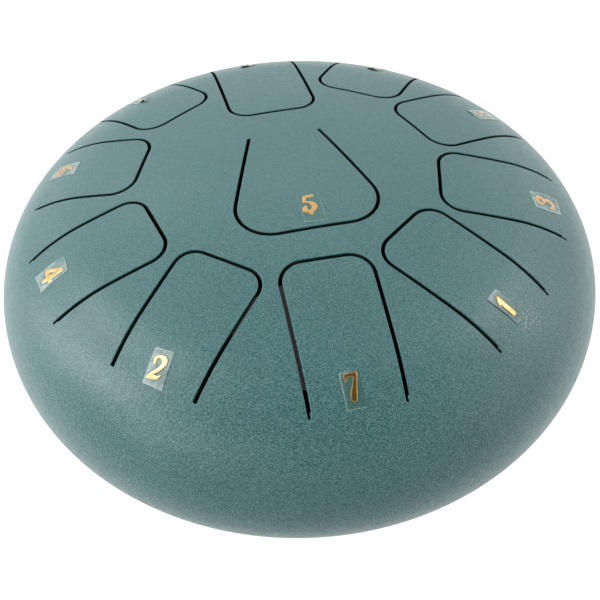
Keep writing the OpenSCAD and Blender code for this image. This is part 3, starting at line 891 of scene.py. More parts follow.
def hole_rim(r, ro, ri, n=SEG, cx=0.0, cy=0.0):
    ways = [(-math.cos(2 * math.pi * j / n), -math.sin(2 * math.pi * j / n)) for j in range(n)]
    return Rim(lambda v: circle(r + v, n, cx, cy), ways, ways[1:] + ways[:1], ro, ri, closed=True)


# upper shell
b = Build()
loops = [circle(R_UP)]
for n, t in TG.items():
    w = t.window()
    w.build(b, UP)
    t.root_face(b, w, -1.0)
    loops.append(w.flush() + t.root_line()[1:-1])
sheet(b, UP, loops, 3.0)
dish_lathe(b, UP, R_UP, 26)
upper = b.object("upper_shell_painted", PAINT_M, INSIDE_M)
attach(upper, "drum")
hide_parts("upper_shell")

# lower shell, with its sound hole and the four screw holes
FOOT_AT = 56.0
SLOPE = math.asin(FOOT_AT / LO.rc)
FOOT_Z = Z_EQ - LO.h + LO.rc * (1 - math.cos(SLOPE))
b = Build()
loops = [circle(R_LO)]
rims = [hole_rim(35.0, 0.9, 0.6)]
for i in range(4):
    a = -45 + 90 * i
    rims.append(hole_rim(2.2, 0.15, 0.1, 36, FOOT_AT * cosd(a), FOOT_AT * sind(a)))
for rm in rims:
    rm.build(b, LO)
    loops.append(rm.flush())
sheet(b, LO, loops, 3.4)
dish_lathe(b, LO, R_LO, 34)
lower = b.object("lower_shell_painted", PAINT_M, INSIDE_M)
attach(lower, "drum")
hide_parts("lower_shell")

# weld, flush and painted over outside, with its bead inside
b = Build()
a_up, _, c_up = weld_points(UP)
a_lo, _, c_lo = weld_points(LO)
outer = []
for i in range(13):
    y = a_up[1] + (-a_lo[1] - a_up[1]) * i / 12
    d = UP if y >= 0 else LO
    r = edge_r(d, y)
    outer.append((r, Z_EQ + y, ((r - R + d.re) / d.re, y / d.re)))
outer[0] = (a_up[0], Z_EQ + a_up[1], outer[0][2])
outer[-1] = (a_lo[0], Z_EQ - a_lo[1], outer[-1][2])
bead = []
t0 = math.atan2(c_up[1], c_up[0] - BEAD[0])
t1 = 2 * math.pi - math.atan2(c_lo[1], c_lo[0] - BEAD[0])
for i in range(17):
    t = t0 + (t1 - t0) * i / 16
    bead.append((BEAD[0] + BEAD[1] * math.cos(t), Z_EQ + BEAD[1] * math.sin(t), (math.cos(t), math.sin(t))))
bead[0] = (c_up[0], Z_EQ + c_up[1], bead[0][2])
bead[-1] = (c_lo[0], Z_EQ - c_lo[1], bead[-1][2])
prof = strip(outer, 0.0) + strip(bead, 1.0)
for d in (UP, LO):
    p1, p2 = near_weld(d, 1)
    prof += strip(p1, 1.0) + strip(p2, 1.0)
lathe(b, prof)
weld = b.object("weld_seam_painted", PAINT_M, INSIDE_M)
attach(weld, "drum")
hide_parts("weld_seam")


def hinge_span(t):
    """Where a tongue's bending begins and ends, in metres."""
    def at(x):
        p = t.world((x, 0.0))
        z = UP.point(*p)[0][2] - T / 2
        return (p[0] * MM, p[1] * MM, z * MM)
    return at(t.len), at(t.len * 0.62)


# tongues: each one's cut edge, root face and sheet as a mesh of its own, in place of the CAD tongue
for n, t in TG.items():
    b = Build()
    rm = t.rim()
    rm.build(b, UP)
    t.root_face(b, rm, 1.0)
    sheet(b, UP, [rm.flush() + t.root_line()[1:-1]], 3.0)
    ob = b.object("tongue_%s_painted" % n, PAINT_M, INSIDE_M)
    start, end = hinge_span(t)
    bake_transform(ob)
    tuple(start)
    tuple(end)
    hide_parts("tongue_" + n)

# ------------------------------------------------------------------ stickers
# corners of each film on its tongue, as (distance out along the bearing,
# sideways): inner -v, inner +v, outer +v, outer -v
FILMS = {
    "low_5": ((17.7, -3.7), (18.2, 4.6), (32.7, 5.2), (32.5, -3.1)),
    "low_7": ((93.8, -4.3), (93.0, 2.4), (104.8, 2.5), (104.8, -4.0)),
    "1": ((90.9, -5.1), (90.6, 1.1), (102.2, 1.5), (103.0, -3.8)),
    "3": ((94.5, -6.7), (92.9, 1.8), (105.2, 3.7), (105.9, -5.1)),
    "5": ((91.9, -5.8), (92.0, 2.9), (104.9, 3.4), (105.4, -5.2)),
    "7": ((95.6, -3.4), (95.4, 4.0), (105.4, 4.0), (105.4, -3.4)),
    "low_6": ((95.2, -1.7), (95.0, 5.7), (105.4, 5.5), (105.4, -2.0)),
    "high_1": ((96.3, -4.1), (96.0, 3.3), (105.9, 3.2), (105.9, -4.2)),
    "6": ((93.4, -5.8), (93.6, 2.3), (106.0, 0.7), (106.1, -7.4)),
    "4": ((94.6, -6.9), (95.2, 0.8), (107.0, 1.3), (107.0, -7.2)),
    "2": ((93.8, -4.5), (93.0, 2.4), (104.9, 4.5), (105.0, -3.2)),
}
# how far a side of a film bulges out at its middle: inner, outer, -v, +v
BOW = {"4": (0.0, -0.3, 0.3, 0.0), "3": (0.0, 0.0, 0.5, 0.3)}
# how milky each film is at those four corners and in its middle, and how much
# it hides of the paint where it is clear
MILK = {
    "low_5": (0.02, 0.02, 0.02, 0.02, 0.0, 0.66),
    "low_7": (0.46, 0.03, 0.02, 0.02, 0.0, 0.16),
    "1": (0.52, 0.40, 0.06, 0.28, 0.10, 0.42),
    "3": (0.36, 0.62, 0.18, 0.48, 0.14, 0.60),
    "5": (0.26, 0.36, 0.26, 0.34, 0.30, 0.70),
    "7": (0.10, 0.10, 0.12, 0.12, 0.10, 0.60),
    "low_6": (0.05, 0.05, 0.08, 0.08, 0.06, 0.60),
    "high_1": (0.06, 0.34, 0.40, 0.12, 0.18, 0.60),
    "6": (0.46, 0.40, 0.46, 0.20, 0.14, 0.60),
    "4": (0.34, 0.44, 0.48, 0.50, 0.16, 0.62),
    "2": (0.60, 0.30, 0.46, 0.56, 0.32, 0.55),
}
# how far its cut sides stand out as lines, a painted highlight above 0 and a painted shadow below it:
# inner, outer, -v, +v
LINES = {
    "low_5": (0.09, 0.20, 0.16, 0.14), "low_7": (0.18, 0.45, 0.55, 0.08), "1": (0.12, 0.16, -0.6, 0.10),
    "3": (0.10, 0.30, 0.40, -0.20), "4": (0.12, 0.20, 0.12, 0.16), "2": (0.12, 0.20, 0.18, 0.08),
    "6": (0.20, 0.12, 0.15, 0.10), "5": (0.05, 0.10, 0.10, 0.06),
    "7": (0.0, 0.0, 0.0, 0.0), "low_6": (0.0, 0.0, 0.0, 0.0), "high_1": (0.0, 0.0, 0.0, 0.0),
}
# where the film has come loose: side, height, reach and the stretch of the side
# as shares of its length
LOOSE = {
    "7": (("i", 0.6, 3.5, 0.2, 1.1),), "low_6": (("i", 0.55, 3.5, 0.4, 1.15),),
    "high_1": (("i", 0.6, 2.5, 0.38, 0.82),), "5": (("i", 0.24, 2.0, 0.35, 1.1),),
    "1": (("-", 0.2, 1.2, -0.25, 1.2),), "3": (("+", 0.2, 1.5, -0.2, 0.8),),
    "4": (("o", 0.22, 2.5, -0.6, 0.6), ("i", 0.12, 2.0, 0.4, 1.6)), "2": (("+", 0.1, 1.0, 0.1, 0.9),),
    "low_7": (("-", 0.1, 1.0, -0.3, 1.1),),
}
FILM_T = 0.12
FILM_L, FILM_W = 11.8, 7.4


def loose(name, s, q):
    """Height of a film over the paint at the shares s outwards and q sideways."""
    h = 0.015
    for side, top, reach, a, b in LOOSE.get(name, ()):
        d, w = {"i": (s * FILM_L, q), "o": ((1 - s) * FILM_L, q), "-": (q * FILM_W, s), "+": ((1 - q) * FILM_W, s)}[side]
        t = (w - a) / (b - a)
        if 0 < t < 1 and d < reach:
            h += top * (1 - max(d, 0.0) / reach) ** 2 * math.sin(math.pi * t)
    return h


def on_tongue(t, u, v, d):
    """Row-frame point at (u, v) of a tongue, d above the paint, and the normal."""
    x, y = u * t.cb - v * t.sb, u * t.sb + v * t.cb
    q, n = UP.point(x, y)
    return plus(q, n, d), n


def film(name):
    t = TG[name]
    il, ir, orr, ol = FILMS[name]
    mi, mir, mor, mo, mid, clear = MILK[name]
    li, lo_, lm, lp = LINES.get(name, (0.08, 0.08, 0.08, 0.08))
    rng = np.random.RandomState(sum(map(ord, name)) * 7 + 3)
    nu, nv = 26, 18
    wob = rng.uniform(-1, 1, (4, 5))

    def wave(k, s):
        """Unevenness of a cut side: slow waves and a nick."""
        a = wob[k]
        return 0.09 * a[0] * math.sin(math.pi * s * 2 + a[1]) + 0.05 * a[2] * math.sin(17 * s + 3 * a[3])

    pts = {}
    for i in range(nu + 1):
        for j in range(nv + 1):
            s, q = i / nu, j / nv
            u = (il[0] * (1 - q) + ir[0] * q) * (1 - s) + (ol[0] * (1 - q) + orr[0] * q) * s
            v = (il[1] * (1 - q) + ir[1] * q) * (1 - s) + (ol[1] * (1 - q) + orr[1] * q) * s
            bi, bo, bm, bp = BOW.get(name, (0.0, 0.0, 0.0, 0.0))
            u += (wave(0, q) - bi * math.sin(math.pi * q)) * (1 - s) ** 4 + (wave(1, q) + bo * math.sin(math.pi * q)) * s ** 4
            v += (wave(2, s) - bm * math.sin(math.pi * s)) * (1 - q) ** 4 + (wave(3, s) + bp * math.sin(math.pi * s)) * q ** 4
            pts[i, j] = (u, v, loose(name, s, q), s, q)
    verts, faces, slots, milk, line = [], [], [], [], []
    for lay in (0, 1):
        for i in range(nu + 1):
            for j in range(nv + 1):
                u, v, d, s, q = pts[i, j]
                verts.append(on_tongue(t, u, v, d + lay * FILM_T)[0])
                c = ((1 - s) * (1 - q), (1 - s) * q, s * q, s * (1 - q))
                core = math.sin(math.pi * s) * math.sin(math.pi * q)
                w = sum(a * b for a, b in zip((mi, mir, mor, mo), c))
                milk.append(w * (1 - core) + mid * core)
                e = 0.0
                for x, y in ((s * FILM_L, li), ((1 - s) * FILM_L, lo_), (q * FILM_W, lm), ((1 - q) * FILM_W, lp)):
                    f = max(0.0, 1 - x / 0.36)
                    e = y * f if abs(y) * f > abs(e) else e
                line.append(e)
    m = (nu + 1) * (nv + 1)
    idx = lambda lay, i, j: lay * m + i * (nv + 1) + j
    for i in range(nu):
        for j in range(nv):
            faces.append([idx(1, i, j), idx(1, i + 1, j), idx(1, i + 1, j + 1), idx(1, i, j + 1)])
            slots.append(0)
            # painted shade: where the film stands off the paint its underside gets the opaque back material,
            # standing for the shaded gap beneath
            faces.append([idx(0, i, j), idx(0, i, j + 1), idx(0, i + 1, j + 1), idx(0, i + 1, j)])
            slots.append(int(pts[i, j][2] > 0.12))
    ring = [(i, 0) for i in range(nu)] + [(nu, j) for j in range(nv)] + \
           [(i, nv) for i in range(nu, 0, -1)] + [(0, j) for j in range(nv, 0, -1)]
    for a, c in zip(ring, ring[1:] + ring[:1]):
        faces.append([idx(0, *a), idx(0, *c), idx(1, *c), idx(1, *a)])
        slots.append(0)
    me = bpy.data.meshes.new("film_" + name)
    me.from_pydata([(x * MM, y * MM, z * MM) for x, y, z in verts], [], faces)
    me.polygons.foreach_set("use_smooth", [True] * len(me.polygons))
    me.set_sharp_from_angle(angle=math.radians(50))
    for key, vals in (("line", line), ("milk", milk), ("body", [clear] * len(verts))):
        me.attributes.new(key, "FLOAT", "POINT").data.foreach_set("value", vals)
    me.polygons.foreach_set("material_index", slots)
    me.materials.append(FILM_M)
    me.materials.append(FILM_BACK_M)
    ob = bpy.data.objects.new("sticker_%s_film" % name, me)
    bpy.context.scene.collection.objects.link(ob)
    fix_normals(ob)
    start, end = hinge_span(t)
    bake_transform(ob)
    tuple(start)
    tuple(end)
    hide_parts("sticker_" + name)


def fix_normals(ob):
    """Turns a closed mesh so that its volume is positive."""
    me = ob.data
    co = np.array([v.co for v in me.vertices], float)
    vol = 0.0
    for p in me.polygons:
        v = [co[i] for i in p.vertices]
        for k in range(1, len(v) - 1):
            vol += float(np.dot(v[0], np.cross(v[k], v[k + 1])))
    if vol < 0:
        me.flip_normals()


for n in TG:
    film(n)


# ------------------------------------------------------------------ numerals
def smooth_path(p, steps=10):
    out = []
    for i in range(len(p) - 1):
        a, b0, c, d = p[max(i - 1, 0)], p[i], p[i + 1], p[min(i + 2, len(p) - 1)]
        for j in range(steps):
            t = j / steps
            out.append([0.5 * (2 * b0[k] + (c[k] - a[k]) * t + (2 * a[k] - 5 * b0[k] + 4 * c[k] - d[k]) * t * t
                               + (3 * b0[k] - a[k] - 3 * c[k] + d[k]) * t ** 3) for k in range(3)])
    out.append(list(p[-1]))
    return np.array(out)


def sd_stroke(x, y, pts):
    """Signed distance to a stroke of points (x, y, half width)."""
    q = smooth_path(pts)
    best = np.full(x.shape, 1e9)
    for a, c in zip(q[:-1], q[1:]):
        dx, dy = c[0] - a[0], c[1] - a[1]
        ll = max(dx * dx + dy * dy, 1e-9)
        t = np.clip(((x - a[0]) * dx + (y - a[1]) * dy) / ll, 0, 1)
        d = np.hypot(x - a[0] - t * dx, y - a[1] - t * dy) - (a[2] + (c[2] - a[2]) * t)
        best = np.minimum(best, d)
    return best


def sd_poly(x, y, pts):
    p = np.array(pts, float)
    best = np.full(x.shape, 1e9)
    inside = np.zeros(x.shape, bool)
    for a, c in zip(p, np.roll(p, -1, 0)):
        dx, dy = c[0] - a[0], c[1] - a[1]
        ll = max(dx * dx + dy * dy, 1e-9)
        t = np.clip(((x - a[0]) * dx + (y - a[1]) * dy) / ll, 0, 1)
        best = np.minimum(best, np.hypot(x - a[0] - t * dx, y - a[1] - t * dy))
        if a[1] != c[1]:
            cross = ((a[1] > y) != (c[1] > y)) & (x < a[0] + (y - a[1]) * (c[0] - a[0]) / (c[1] - a[1]))
            inside ^= cross
    return np.where(inside, -best, best)


# Each numeral as strokes (x, y, half width), solid outlines and cut-outs, in a
# field about 10 high, with its octave dot as one more stroke
GLYPHS = {
    "1": {"poly": [[(0.1, 4.0), (1.0, 4.2), (1.5, 3.6), (1.3, 1.6), (1.1, -0.8), (1.0, -3.0), (0.9, -4.6),
                    (0.2, -5.0), (-1.0, -5.0), (-1.6, -4.5), (-1.6, -3.0), (-1.5, -0.8), (-1.3, 1.0),
                    (-1.8, 0.4), (-2.3, 0.6), (-2.1, 1.4), (-1.3, 2.7)]]},
    "2": {"stroke": [[(-1.9, 0.6, 0.72), (-2.2, 1.6, 0.6), (-1.4, 2.7, 0.6), (0.1, 2.9, 0.9), (1.4, 2.2, 1.1),
                      (1.6, 0.8, 1.0), (0.8, -0.9, 0.85), (-0.6, -2.4, 0.75), (-2.1, -3.8, 0.55)]],
          "poly": [[(-3.5, -4.6), (-2.2, -4.8), (-0.5, -4.75), (0.9, -4.6), (1.8, -4.1), (2.3, -2.7), (1.7, -2.7),
                    (1.0, -3.2), (-0.2, -3.3), (-1.4, -3.3), (-2.4, -3.1)]]},
    "3": {"stroke": [[(-2.0, 0.9, 0.6), (-2.1, 2.3, 0.85), (-0.9, 3.5, 0.75), (1.0, 3.2, 0.9), (1.5, 1.9, 1.0),
                      (0.7, 0.7, 0.7), (-0.6, 0.4, 0.55)],
                     [(-0.6, 0.4, 0.6), (1.1, -0.1, 0.85), (1.9, -1.7, 1.1), (1.2, -3.5, 1.0),
                      (-0.6, -4.1, 0.75), (-2.1, -3.1, 0.9)]]},
    "4": {"stroke": [[(1.2, 3.5, 0.8), (-0.3, 1.5, 0.8), (-1.6, -0.2, 0.8), (-2.8, -2.0, 0.8)],
                     [(-2.8, -2.1, 0.8), (-0.6, -2.1, 0.9), (1.2, -2.0, 0.9), (2.7, -1.8, 0.85)],
                     [(1.4, 3.4, 0.85), (1.3, 0.6, 0.95), (0.9, -2.0, 1.0), (0.6, -4.3, 0.8)]]},
    "5": {"stroke": [[(-0.9, 4.6, 0.9), (0.3, 4.7, 0.88), (1.6, 4.9, 0.85)],
                     [(-1.4, 4.5, 0.7), (-1.6, 3.2, 0.75), (-1.7, 1.8, 0.7)],
                     [(-1.6, 1.5, 0.5), (0.2, 1.3, 0.75), (1.6, 0.2, 1.15), (1.9, -1.6, 1.15), (0.8, -3.2, 0.9),
                      (-0.8, -3.6, 0.95), (-2.0, -2.9, 1.1), (-2.0, -1.6, 0.9), (-1.5, -0.7, 0.5)]]},
    "6": {"stroke": [[(1.7, 3.9, 0.7), (-0.1, 3.0, 0.85), (-1.6, 0.9, 1.1), (-1.9, -1.7, 1.2),
                      (-0.9, -3.7, 0.95), (0.3, -4.0, 0.8)],
                     [(-0.2, -4.0, 0.8), (1.4, -3.4, 1.0), (1.8, -1.9, 1.1), (1.0, -0.4, 0.9),
                      (-0.6, -0.2, 0.6), (-1.6, -0.9, 0.4)]]},
    "7": {"poly": [[(-1.6, 4.3), (0.7, 4.25), (2.95, 4.2), (2.95, 3.4), (2.4, 1.7), (1.7, -0.7), (1.2, -2.8),
                    (0.7, -4.5), (0.1, -4.9), (-0.5, -5.0), (-1.25, -4.5), (-1.45, -3.5), (-0.85, -1.6), (0.2, 0.4),
                    (0.95, 1.8), (1.15, 2.6), (0.3, 2.9), (-0.65, 2.85), (-1.1, 2.4), (-1.3, 1.7), (-1.9, 1.6),
                    (-2.0, 2.7), (-1.95, 3.6)]]},
}
# name: digit, height of its octave dot (0 for none), distance out, sideways, turn
NUMERALS = {
    "low_5": ("5", -4.7, 24.0, 0.2, -2),
    "low_7": ("7", 0, 98.1, -1.0, 4),
    "1": ("1", 0, 96.2, -1.7, 6),
    "3": ("3", 0, 99.0, -1.9, -8),
    "5": ("5", 0, 98.8, -0.5, 3),
    "7": ("7", 0, 98.6, -0.5, -4),
    "low_6": ("6", -6.2, 98.8, 1.6, 2),
    "high_1": ("1", 6.2, 99.2, -0.4, -3),
    "6": ("6", 0, 99.9, -2.6, 9),
    "4": ("4", 0, 100.6, -2.9, -4),
    "2": ("2", 0, 98.6, -0.2, 5),
}
FOIL = 0.12
# how much narrower each side of a numeral's strokes is
SLIM = {"1": 0.05, "4": 0.0, "low_5": 0.05, "6": -0.12}
# each numeral's foil colour with light painted in, as lit and shaded copies of one gold: its face, and its raised
# rim as a painted highlight or painted shadow
FOIL_LIT_TONES = {
    "low_5": ((0.48, 0.270, 0.075), (0.72, 0.48, 0.23)), "low_7": ((0.30, 0.145, 0.030), (0.85, 0.60, 0.27)),
    "1": ((0.36, 0.245, 0.080), (0.32, 0.21, 0.075)), "3": ((0.46, 0.27, 0.090), (0.50, 0.33, 0.15)),
    "5": ((0.38, 0.265, 0.145), (0.34, 0.26, 0.155)), "7": ((0.24, 0.165, 0.075), (0.22, 0.155, 0.075)),
    "low_6": ((0.24, 0.165, 0.075), (0.22, 0.155, 0.075)), "high_1": ((0.26, 0.185, 0.085), (0.24, 0.17, 0.085)),
    "6": ((0.43, 0.27, 0.110), (0.45, 0.31, 0.16)), "4": ((0.57, 0.385, 0.16), (0.53, 0.34, 0.135)),
    "2": ((0.58, 0.45, 0.205), (0.32, 0.225, 0.085)),
}


def glyph_field(name):
    digit, dot, u0, v0, turn = NUMERALS[name]
    g = GLYPHS[digit]
    k = 0.94 if abs(dot) < 5 else 0.84
    step = 0.1
    xs = np.arange(-4.2, 4.2, step)
    ys = np.arange(-8.2, 8.2, step)
    x, y = np.meshgrid(xs, ys)
    f = np.full(x.shape, 1e9)
    for s in g.get("stroke", []):
        f = np.minimum(f, sd_stroke(x, y, s))
    for s in g.get("poly", []):
        f = np.minimum(f, sd_poly(x, y, s))
    for s in g.get("cut", []):
        f = np.maximum(f, -sd_poly(x, y, s))
    if dot:
        f = np.minimum(f, np.hypot(x - 0.1, y - dot) - 0.95)
    f = f + SLIM.get(name, 0.0)
    # soften the corners a little, as a stamped foil has them
    for _ in range(2):
        f[1:-1, 1:-1] = (f[1:-1, 1:-1] * 4 + f[:-2, 1:-1] + f[2:, 1:-1] + f[1:-1, :-2] + f[1:-1, 2:]) / 8
    return xs, ys, f, k


def contour(xs, ys, f):
    """Closed loops where f is 0, by marching over the grid's cells."""
    segs = {}

    def cut(a, c, fa, fc):
        t = fa / (fa - fc)
        return (a[0] + (c[0] - a[0]) * t, a[1] + (c[1] - a[1]) * t)

    f = np.where(np.abs(f) < 1e-6, 1e-6, f)
    ny, nx = f.shape
    for j in range(ny - 1):
        for i in range(nx - 1):
            c = (f[j, i], f[j, i + 1], f[j + 1, i + 1], f[j + 1, i])
            code = sum((1 << k) for k in range(4) if c[k] < 0)
            if code in (0, 15):
                continue
            p = ((xs[i], ys[j]), (xs[i + 1], ys[j]), (xs[i + 1], ys[j + 1]), (xs[i], ys[j + 1]))
            keys = (("h", j, i), ("v", j, i + 1), ("h", j + 1, i), ("v", j, i))
            on = []
            for e in range(4):
                a, d = c[e], c[(e + 1) % 4]
                if (a < 0) != (d < 0):
                    on.append((keys[e], cut(p[e], p[(e + 1) % 4], a, d), a < 0))
            if len(on) == 2:
                pairs = [(on[0], on[1])]
            else:
                pairs = [(on[0], on[1]), (on[2], on[3])]
            for a, d in pairs:
                if not a[2]:
                    a, d = d, a
                segs[a[0]] = (a[1], d[0])
    loops = []
    while segs:
        k0 = next(iter(segs))
        k, lp = k0, []
        while k in segs:
            pt, nxt = segs.pop(k)
            lp.append(pt)
            k = nxt
        if len(lp) > 8:
            loops.append(lp)
    return loops


def thin(lp, gap):
    out = [lp[0]]
    for p in lp[1:]:
        if math.hypot(p[0] - out[-1][0], p[1] - out[-1][1]) >= gap:
            out.append(p)
    if math.hypot(out[0][0] - out[-1][0], out[0][1] - out[-1][1]) < gap:
        out.pop()
    return out


def numeral(name):
    digit, dot, u0, v0, turn = NUMERALS[name]
    t = TG[name]
    xs, ys, f, k = glyph_field(name)
    loops = [thin(lp, 0.12) for lp in contour(xs, ys, f)]
    tris = triangles(loops, 0.3)
    ct, st = cosd(90 + turn), sind(90 + turn)

    def dist(p):
        x = (p[0] - xs[0]) / (xs[1] - xs[0])
        y = (p[1] - ys[0]) / (ys[1] - ys[0])
        i, j = int(x), int(y)
        a, c = x - i, y - j
        return -((f[j, i] * (1 - a) + f[j, i + 1] * a) * (1 - c) + (f[j + 1, i] * (1 - a) + f[j + 1, i + 1] * a) * c)

    il, ir, orr, ol = FILMS[name]

    def place(p, d):
        x, y = p[0] * k, p[1] * k
        u, v = u0 + x * ct - y * st, v0 + x * st + y * ct
        s = (u - (il[0] + ir[0]) / 2) / ((ol[0] + orr[0] - il[0] - ir[0]) / 2)
        lo_v, hi_v = il[1] + (ol[1] - il[1]) * s, ir[1] + (orr[1] - ir[1]) * s
        return on_tongue(t, u, v, d + loose(name, s, (v - lo_v) / (hi_v - lo_v)) - 0.015)[0]

    edge = set()
    for lp in loops:
        edge |= {(round(p[0], 5), round(p[1], 5)) for p in lp}

    def inset(p):
        return 0.0 if (round(p[0], 5), round(p[1], 5)) in edge else max(0.0, dist(p)) * k

    def top(p):
        h = min(1.0, inset(p) / 0.34)
        return FILM_T + 0.02 + 0.05 + (FOIL - 0.05) * math.sin(h * math.pi / 2)

    b = Build()
    face_c, rim_c = FOIL_LIT_TONES[name]
    foil_lit_tone = {}
    up = (0.0, 0.0, 1.0)
    for tr in tris:
        for p in tr:
            # each corner runs from the rim's painted highlight or shadow to the face's painted lit tone
            w = min(1.0, inset(p) / 0.42)
            w = w * w * (3 - 2 * w)
            for d in (top(p), FILM_T * 0.5):
                foil_lit_tone[b.vert(place(p, d))] = [r + (c - r) * w for c, r in zip(face_c, rim_c)]
        b.face([place(p, top(p)) for p in tr], [up] * 3)
        b.face([place(p, FILM_T * 0.5) for p in tr], [(0, 0, -1)] * 3)
    b2 = {}
    for tr in tris:
        for a, c in zip(tr, tr[1:] + tr[:1]):
            key = (tuple(a), tuple(c))
            if (key[1], key[0]) in b2:
                del b2[key[1], key[0]]
            else:
                b2[key] = True
    for a, c in b2:
        q = [place(a, top(a)), place(c, top(c)), place(c, FILM_T * 0.5), place(a, FILM_T * 0.5)]
        # the outer side is on the right of each edge of an anticlockwise triangle
        q3 = [np.array(x) for x in q]
        mid = np.mean([place(p, 0.1) for p in (a, c)], 0)
        third = next(tr for tr in tris if a in tr and c in tr)
        cen = np.mean([place(p, 0.1) for p in third], 0)
        w = mid - cen
        b.face(q, [tuple(w)] * 4, 1.0)
    ob = b.object("numeral_%s_foil" % name, GOLD_M, EDGE_M, smooth_angle=48)
    att = ob.data.attributes.new("foil", "FLOAT_COLOR", "POINT")
    att.data.foreach_set("color", [x for i in range(len(b.v)) for x in (*foil_lit_tone[i], 1.0)])
    start, end = hinge_span(t)
    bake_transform(ob)
    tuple(start)
    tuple(end)
    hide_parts("numeral_" + name)


for n in TG:
    numeral(n)

# ---------------------------------------------------------------------- feet
CS, SS = math.cos(SLOPE), math.sin(SLOPE)


def foot_place(i, x, y, z):
    """From a foot's own frame to the row frame."""
    rr, zz = FOOT_AT + x * CS - z * SS, FOOT_Z + x * SS + z * CS
    a = -45 + 90 * i
    return (rr * cosd(a) - y * sind(a), rr * sind(a) + y * cosd(a), zz)


def foot_top(x, y):
    """Local height of the shell's outer face over (x, y)."""
    z = 0.0
    for _ in range(6):
        p = foot_place(0, x, y, z)
        r = math.hypot(p[0], p[1])
        th = LO.slope(r)
        z -= (p[2] - (Z_EQ - LO.at(th)[1])) / CS
    return z


def foot(i, name):
    n = 72
    # (radius, where its height counts from: t the shell, l the foot's own
    # frame, b the surface it stands on; height)
    prof = [(8.3, "t", -0.02), (8.7, "t", -0.06), (8.92, "t", -0.28), (8.95, "t", -0.75), (8.88, "l", -1.15),
            (8.95, "l", -1.4), (9.3, "l", -1.7), (9.45, "l", -2.0), (9.5, "l", -2.5), (9.5, "l", -3.5),
            (9.44, "l", -4.1), (9.3, "l", -4.7), (8.95, "l", -6.6), (8.6, "l", -8.2), (8.42, "b", 2.0),
            (8.34, "b", 1.35), (8.18, "b", 0.78), (7.86, "b", 0.34), (7.4, "b", 0.07), (6.9, "b", 0.0),
            (5.7, "b", 0.0), (5.3, "b", 0.05), (5.05, "b", 0.22), (4.92, "b", 0.55), (4.88, "b", 1.2),
            (4.9, "l", -8.0), (4.9, "l", -4.2), (4.86, "l", -3.5), (4.7, "l", -3.28), (4.4, "l", -3.2),
            (2.6, "l", -3.2), (2.3, "l", -3.1), (2.2, "l", -2.9), (2.2, "l", -1.0), (2.2, "t", -0.3),
            (2.35, "t", -0.02)]
    rows = []
    for rr, kind, h in prof:
        row = []
        for j in range(n):
            a = 2 * math.pi * j / n
            x, y = rr * math.cos(a), rr * math.sin(a)
            if kind == "t":
                z = foot_top(x, y) + h
            elif kind == "l":
                z = h
            else:
                z = -(FOOT_Z + x * SS) / CS + h / CS
            row.append(foot_place(i, x, y, z))
        rows.append(row)
    verts = [p for row in rows for p in row]
    faces, m = [], len(rows)
    for r0 in range(m):
        r1 = (r0 + 1) % m
        for j in range(n):
            k = (j + 1) % n
            faces.append([r0 * n + j, r1 * n + j, r1 * n + k, r0 * n + k])
    me = bpy.data.meshes.new(name)
    me.from_pydata([(x * MM, y * MM, z * MM) for x, y, z in verts], [], faces)
    me.polygons.foreach_set("use_smooth", [True] * len(me.polygons))
    me.set_sharp_from_angle(angle=math.radians(60))
    me.materials.append(RUBBER_M)
    ob = bpy.data.objects.new(name + "_moulded", me)
    bpy.context.scene.collection.objects.link(ob)
    fix_normals(ob)
    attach(ob, "drum")
    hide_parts(name)


for i, n in enumerate(("foot_front_right", "foot_back_right", "foot_back_left", "foot_front_left")):
    foot(i, n)

for n in ("foot_inserts", "foot_screws", "foot_washers", "foot_nuts"):
    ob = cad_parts[n]
    for s in ob.material_slots:
        s.material = ZINC_M
    if not ob.material_slots:
        ob.data.materials.append(ZINC_M)

# ------------------------------------------------------------- floor and light
FLOOR_FRONT = 0.36
fm, nt = mat("floor")
out = node(nt, "ShaderNodeOutputMaterial")
p = node(nt, "ShaderNodeBsdfPrincipled", Roughness=0.6)
p.inputs["Emission Color"].default_value = (1.0, 1.0, 1.0, 1.0)
# the glow of the lit floor fades in the drum's own shade
tc = node(nt, "ShaderNodeTexCoord")
sp = node(nt, "ShaderNodeVectorMath", _operation="LENGTH")
link(nt, tc.outputs["Object"], sp.inputs[0])
mr = node(nt, "ShaderNodeMapRange", _interpolation_type="SMOOTHSTEP")
link(nt, sp.outputs["Value"], mr.inputs["Value"])
mr.inputs["From Min"].default_value = 0.052
mr.inputs["From Max"].default_value = 0.098
mr.inputs["To Min"].default_value = 0.02
mr.inputs["To Max"].default_value = 0.86
# and it is less lit on the player's side, which the camera doesn't see
sp2 = node(nt, "ShaderNodeSeparateXYZ")
link(nt, tc.outputs["Object"], sp2.inputs[0])
fy = node(nt, "ShaderNodeMapRange", _interpolation_type="SMOOTHSTEP")
link(nt, sp2.outputs["Y"], fy.inputs["Value"])
for k, v in (("From Min", -0.20), ("From Max", -0.135), ("To Min", FLOOR_FRONT), ("To Max", 1.0)):
    fy.inputs[k].default_value = v
link(nt, math_node(nt, "MULTIPLY", mr.outputs["Result"], fy.outputs["Result"]), p.inputs["Emission Strength"])
fc = mix_color(nt, mr.outputs["Result"], (0.02, 0.02, 0.02), (0.33, 0.33, 0.33))
link(nt, fc, p.inputs["Base Color"])
link(nt, p.outputs[0], out.inputs[0])
me = bpy.data.meshes.new("floor")
me.from_pydata([(-3, -3, -0.00005), (3, -3, -0.00005), (3, 3, -0.00005), (-3, 3, -0.00005)], [], [(0, 1, 2, 3)])
me.materials.append(fm)
floor = bpy.data.objects.new("floor", me)
bpy.context.scene.collection.objects.link(floor)

world = bpy.data.worlds.new("studio")
bpy.context.scene.world = world
world.use_nodes = True
wt = world.node_tree
bg = wt.nodes["Background"]
bg.inputs["Strength"].default_value = 1.0
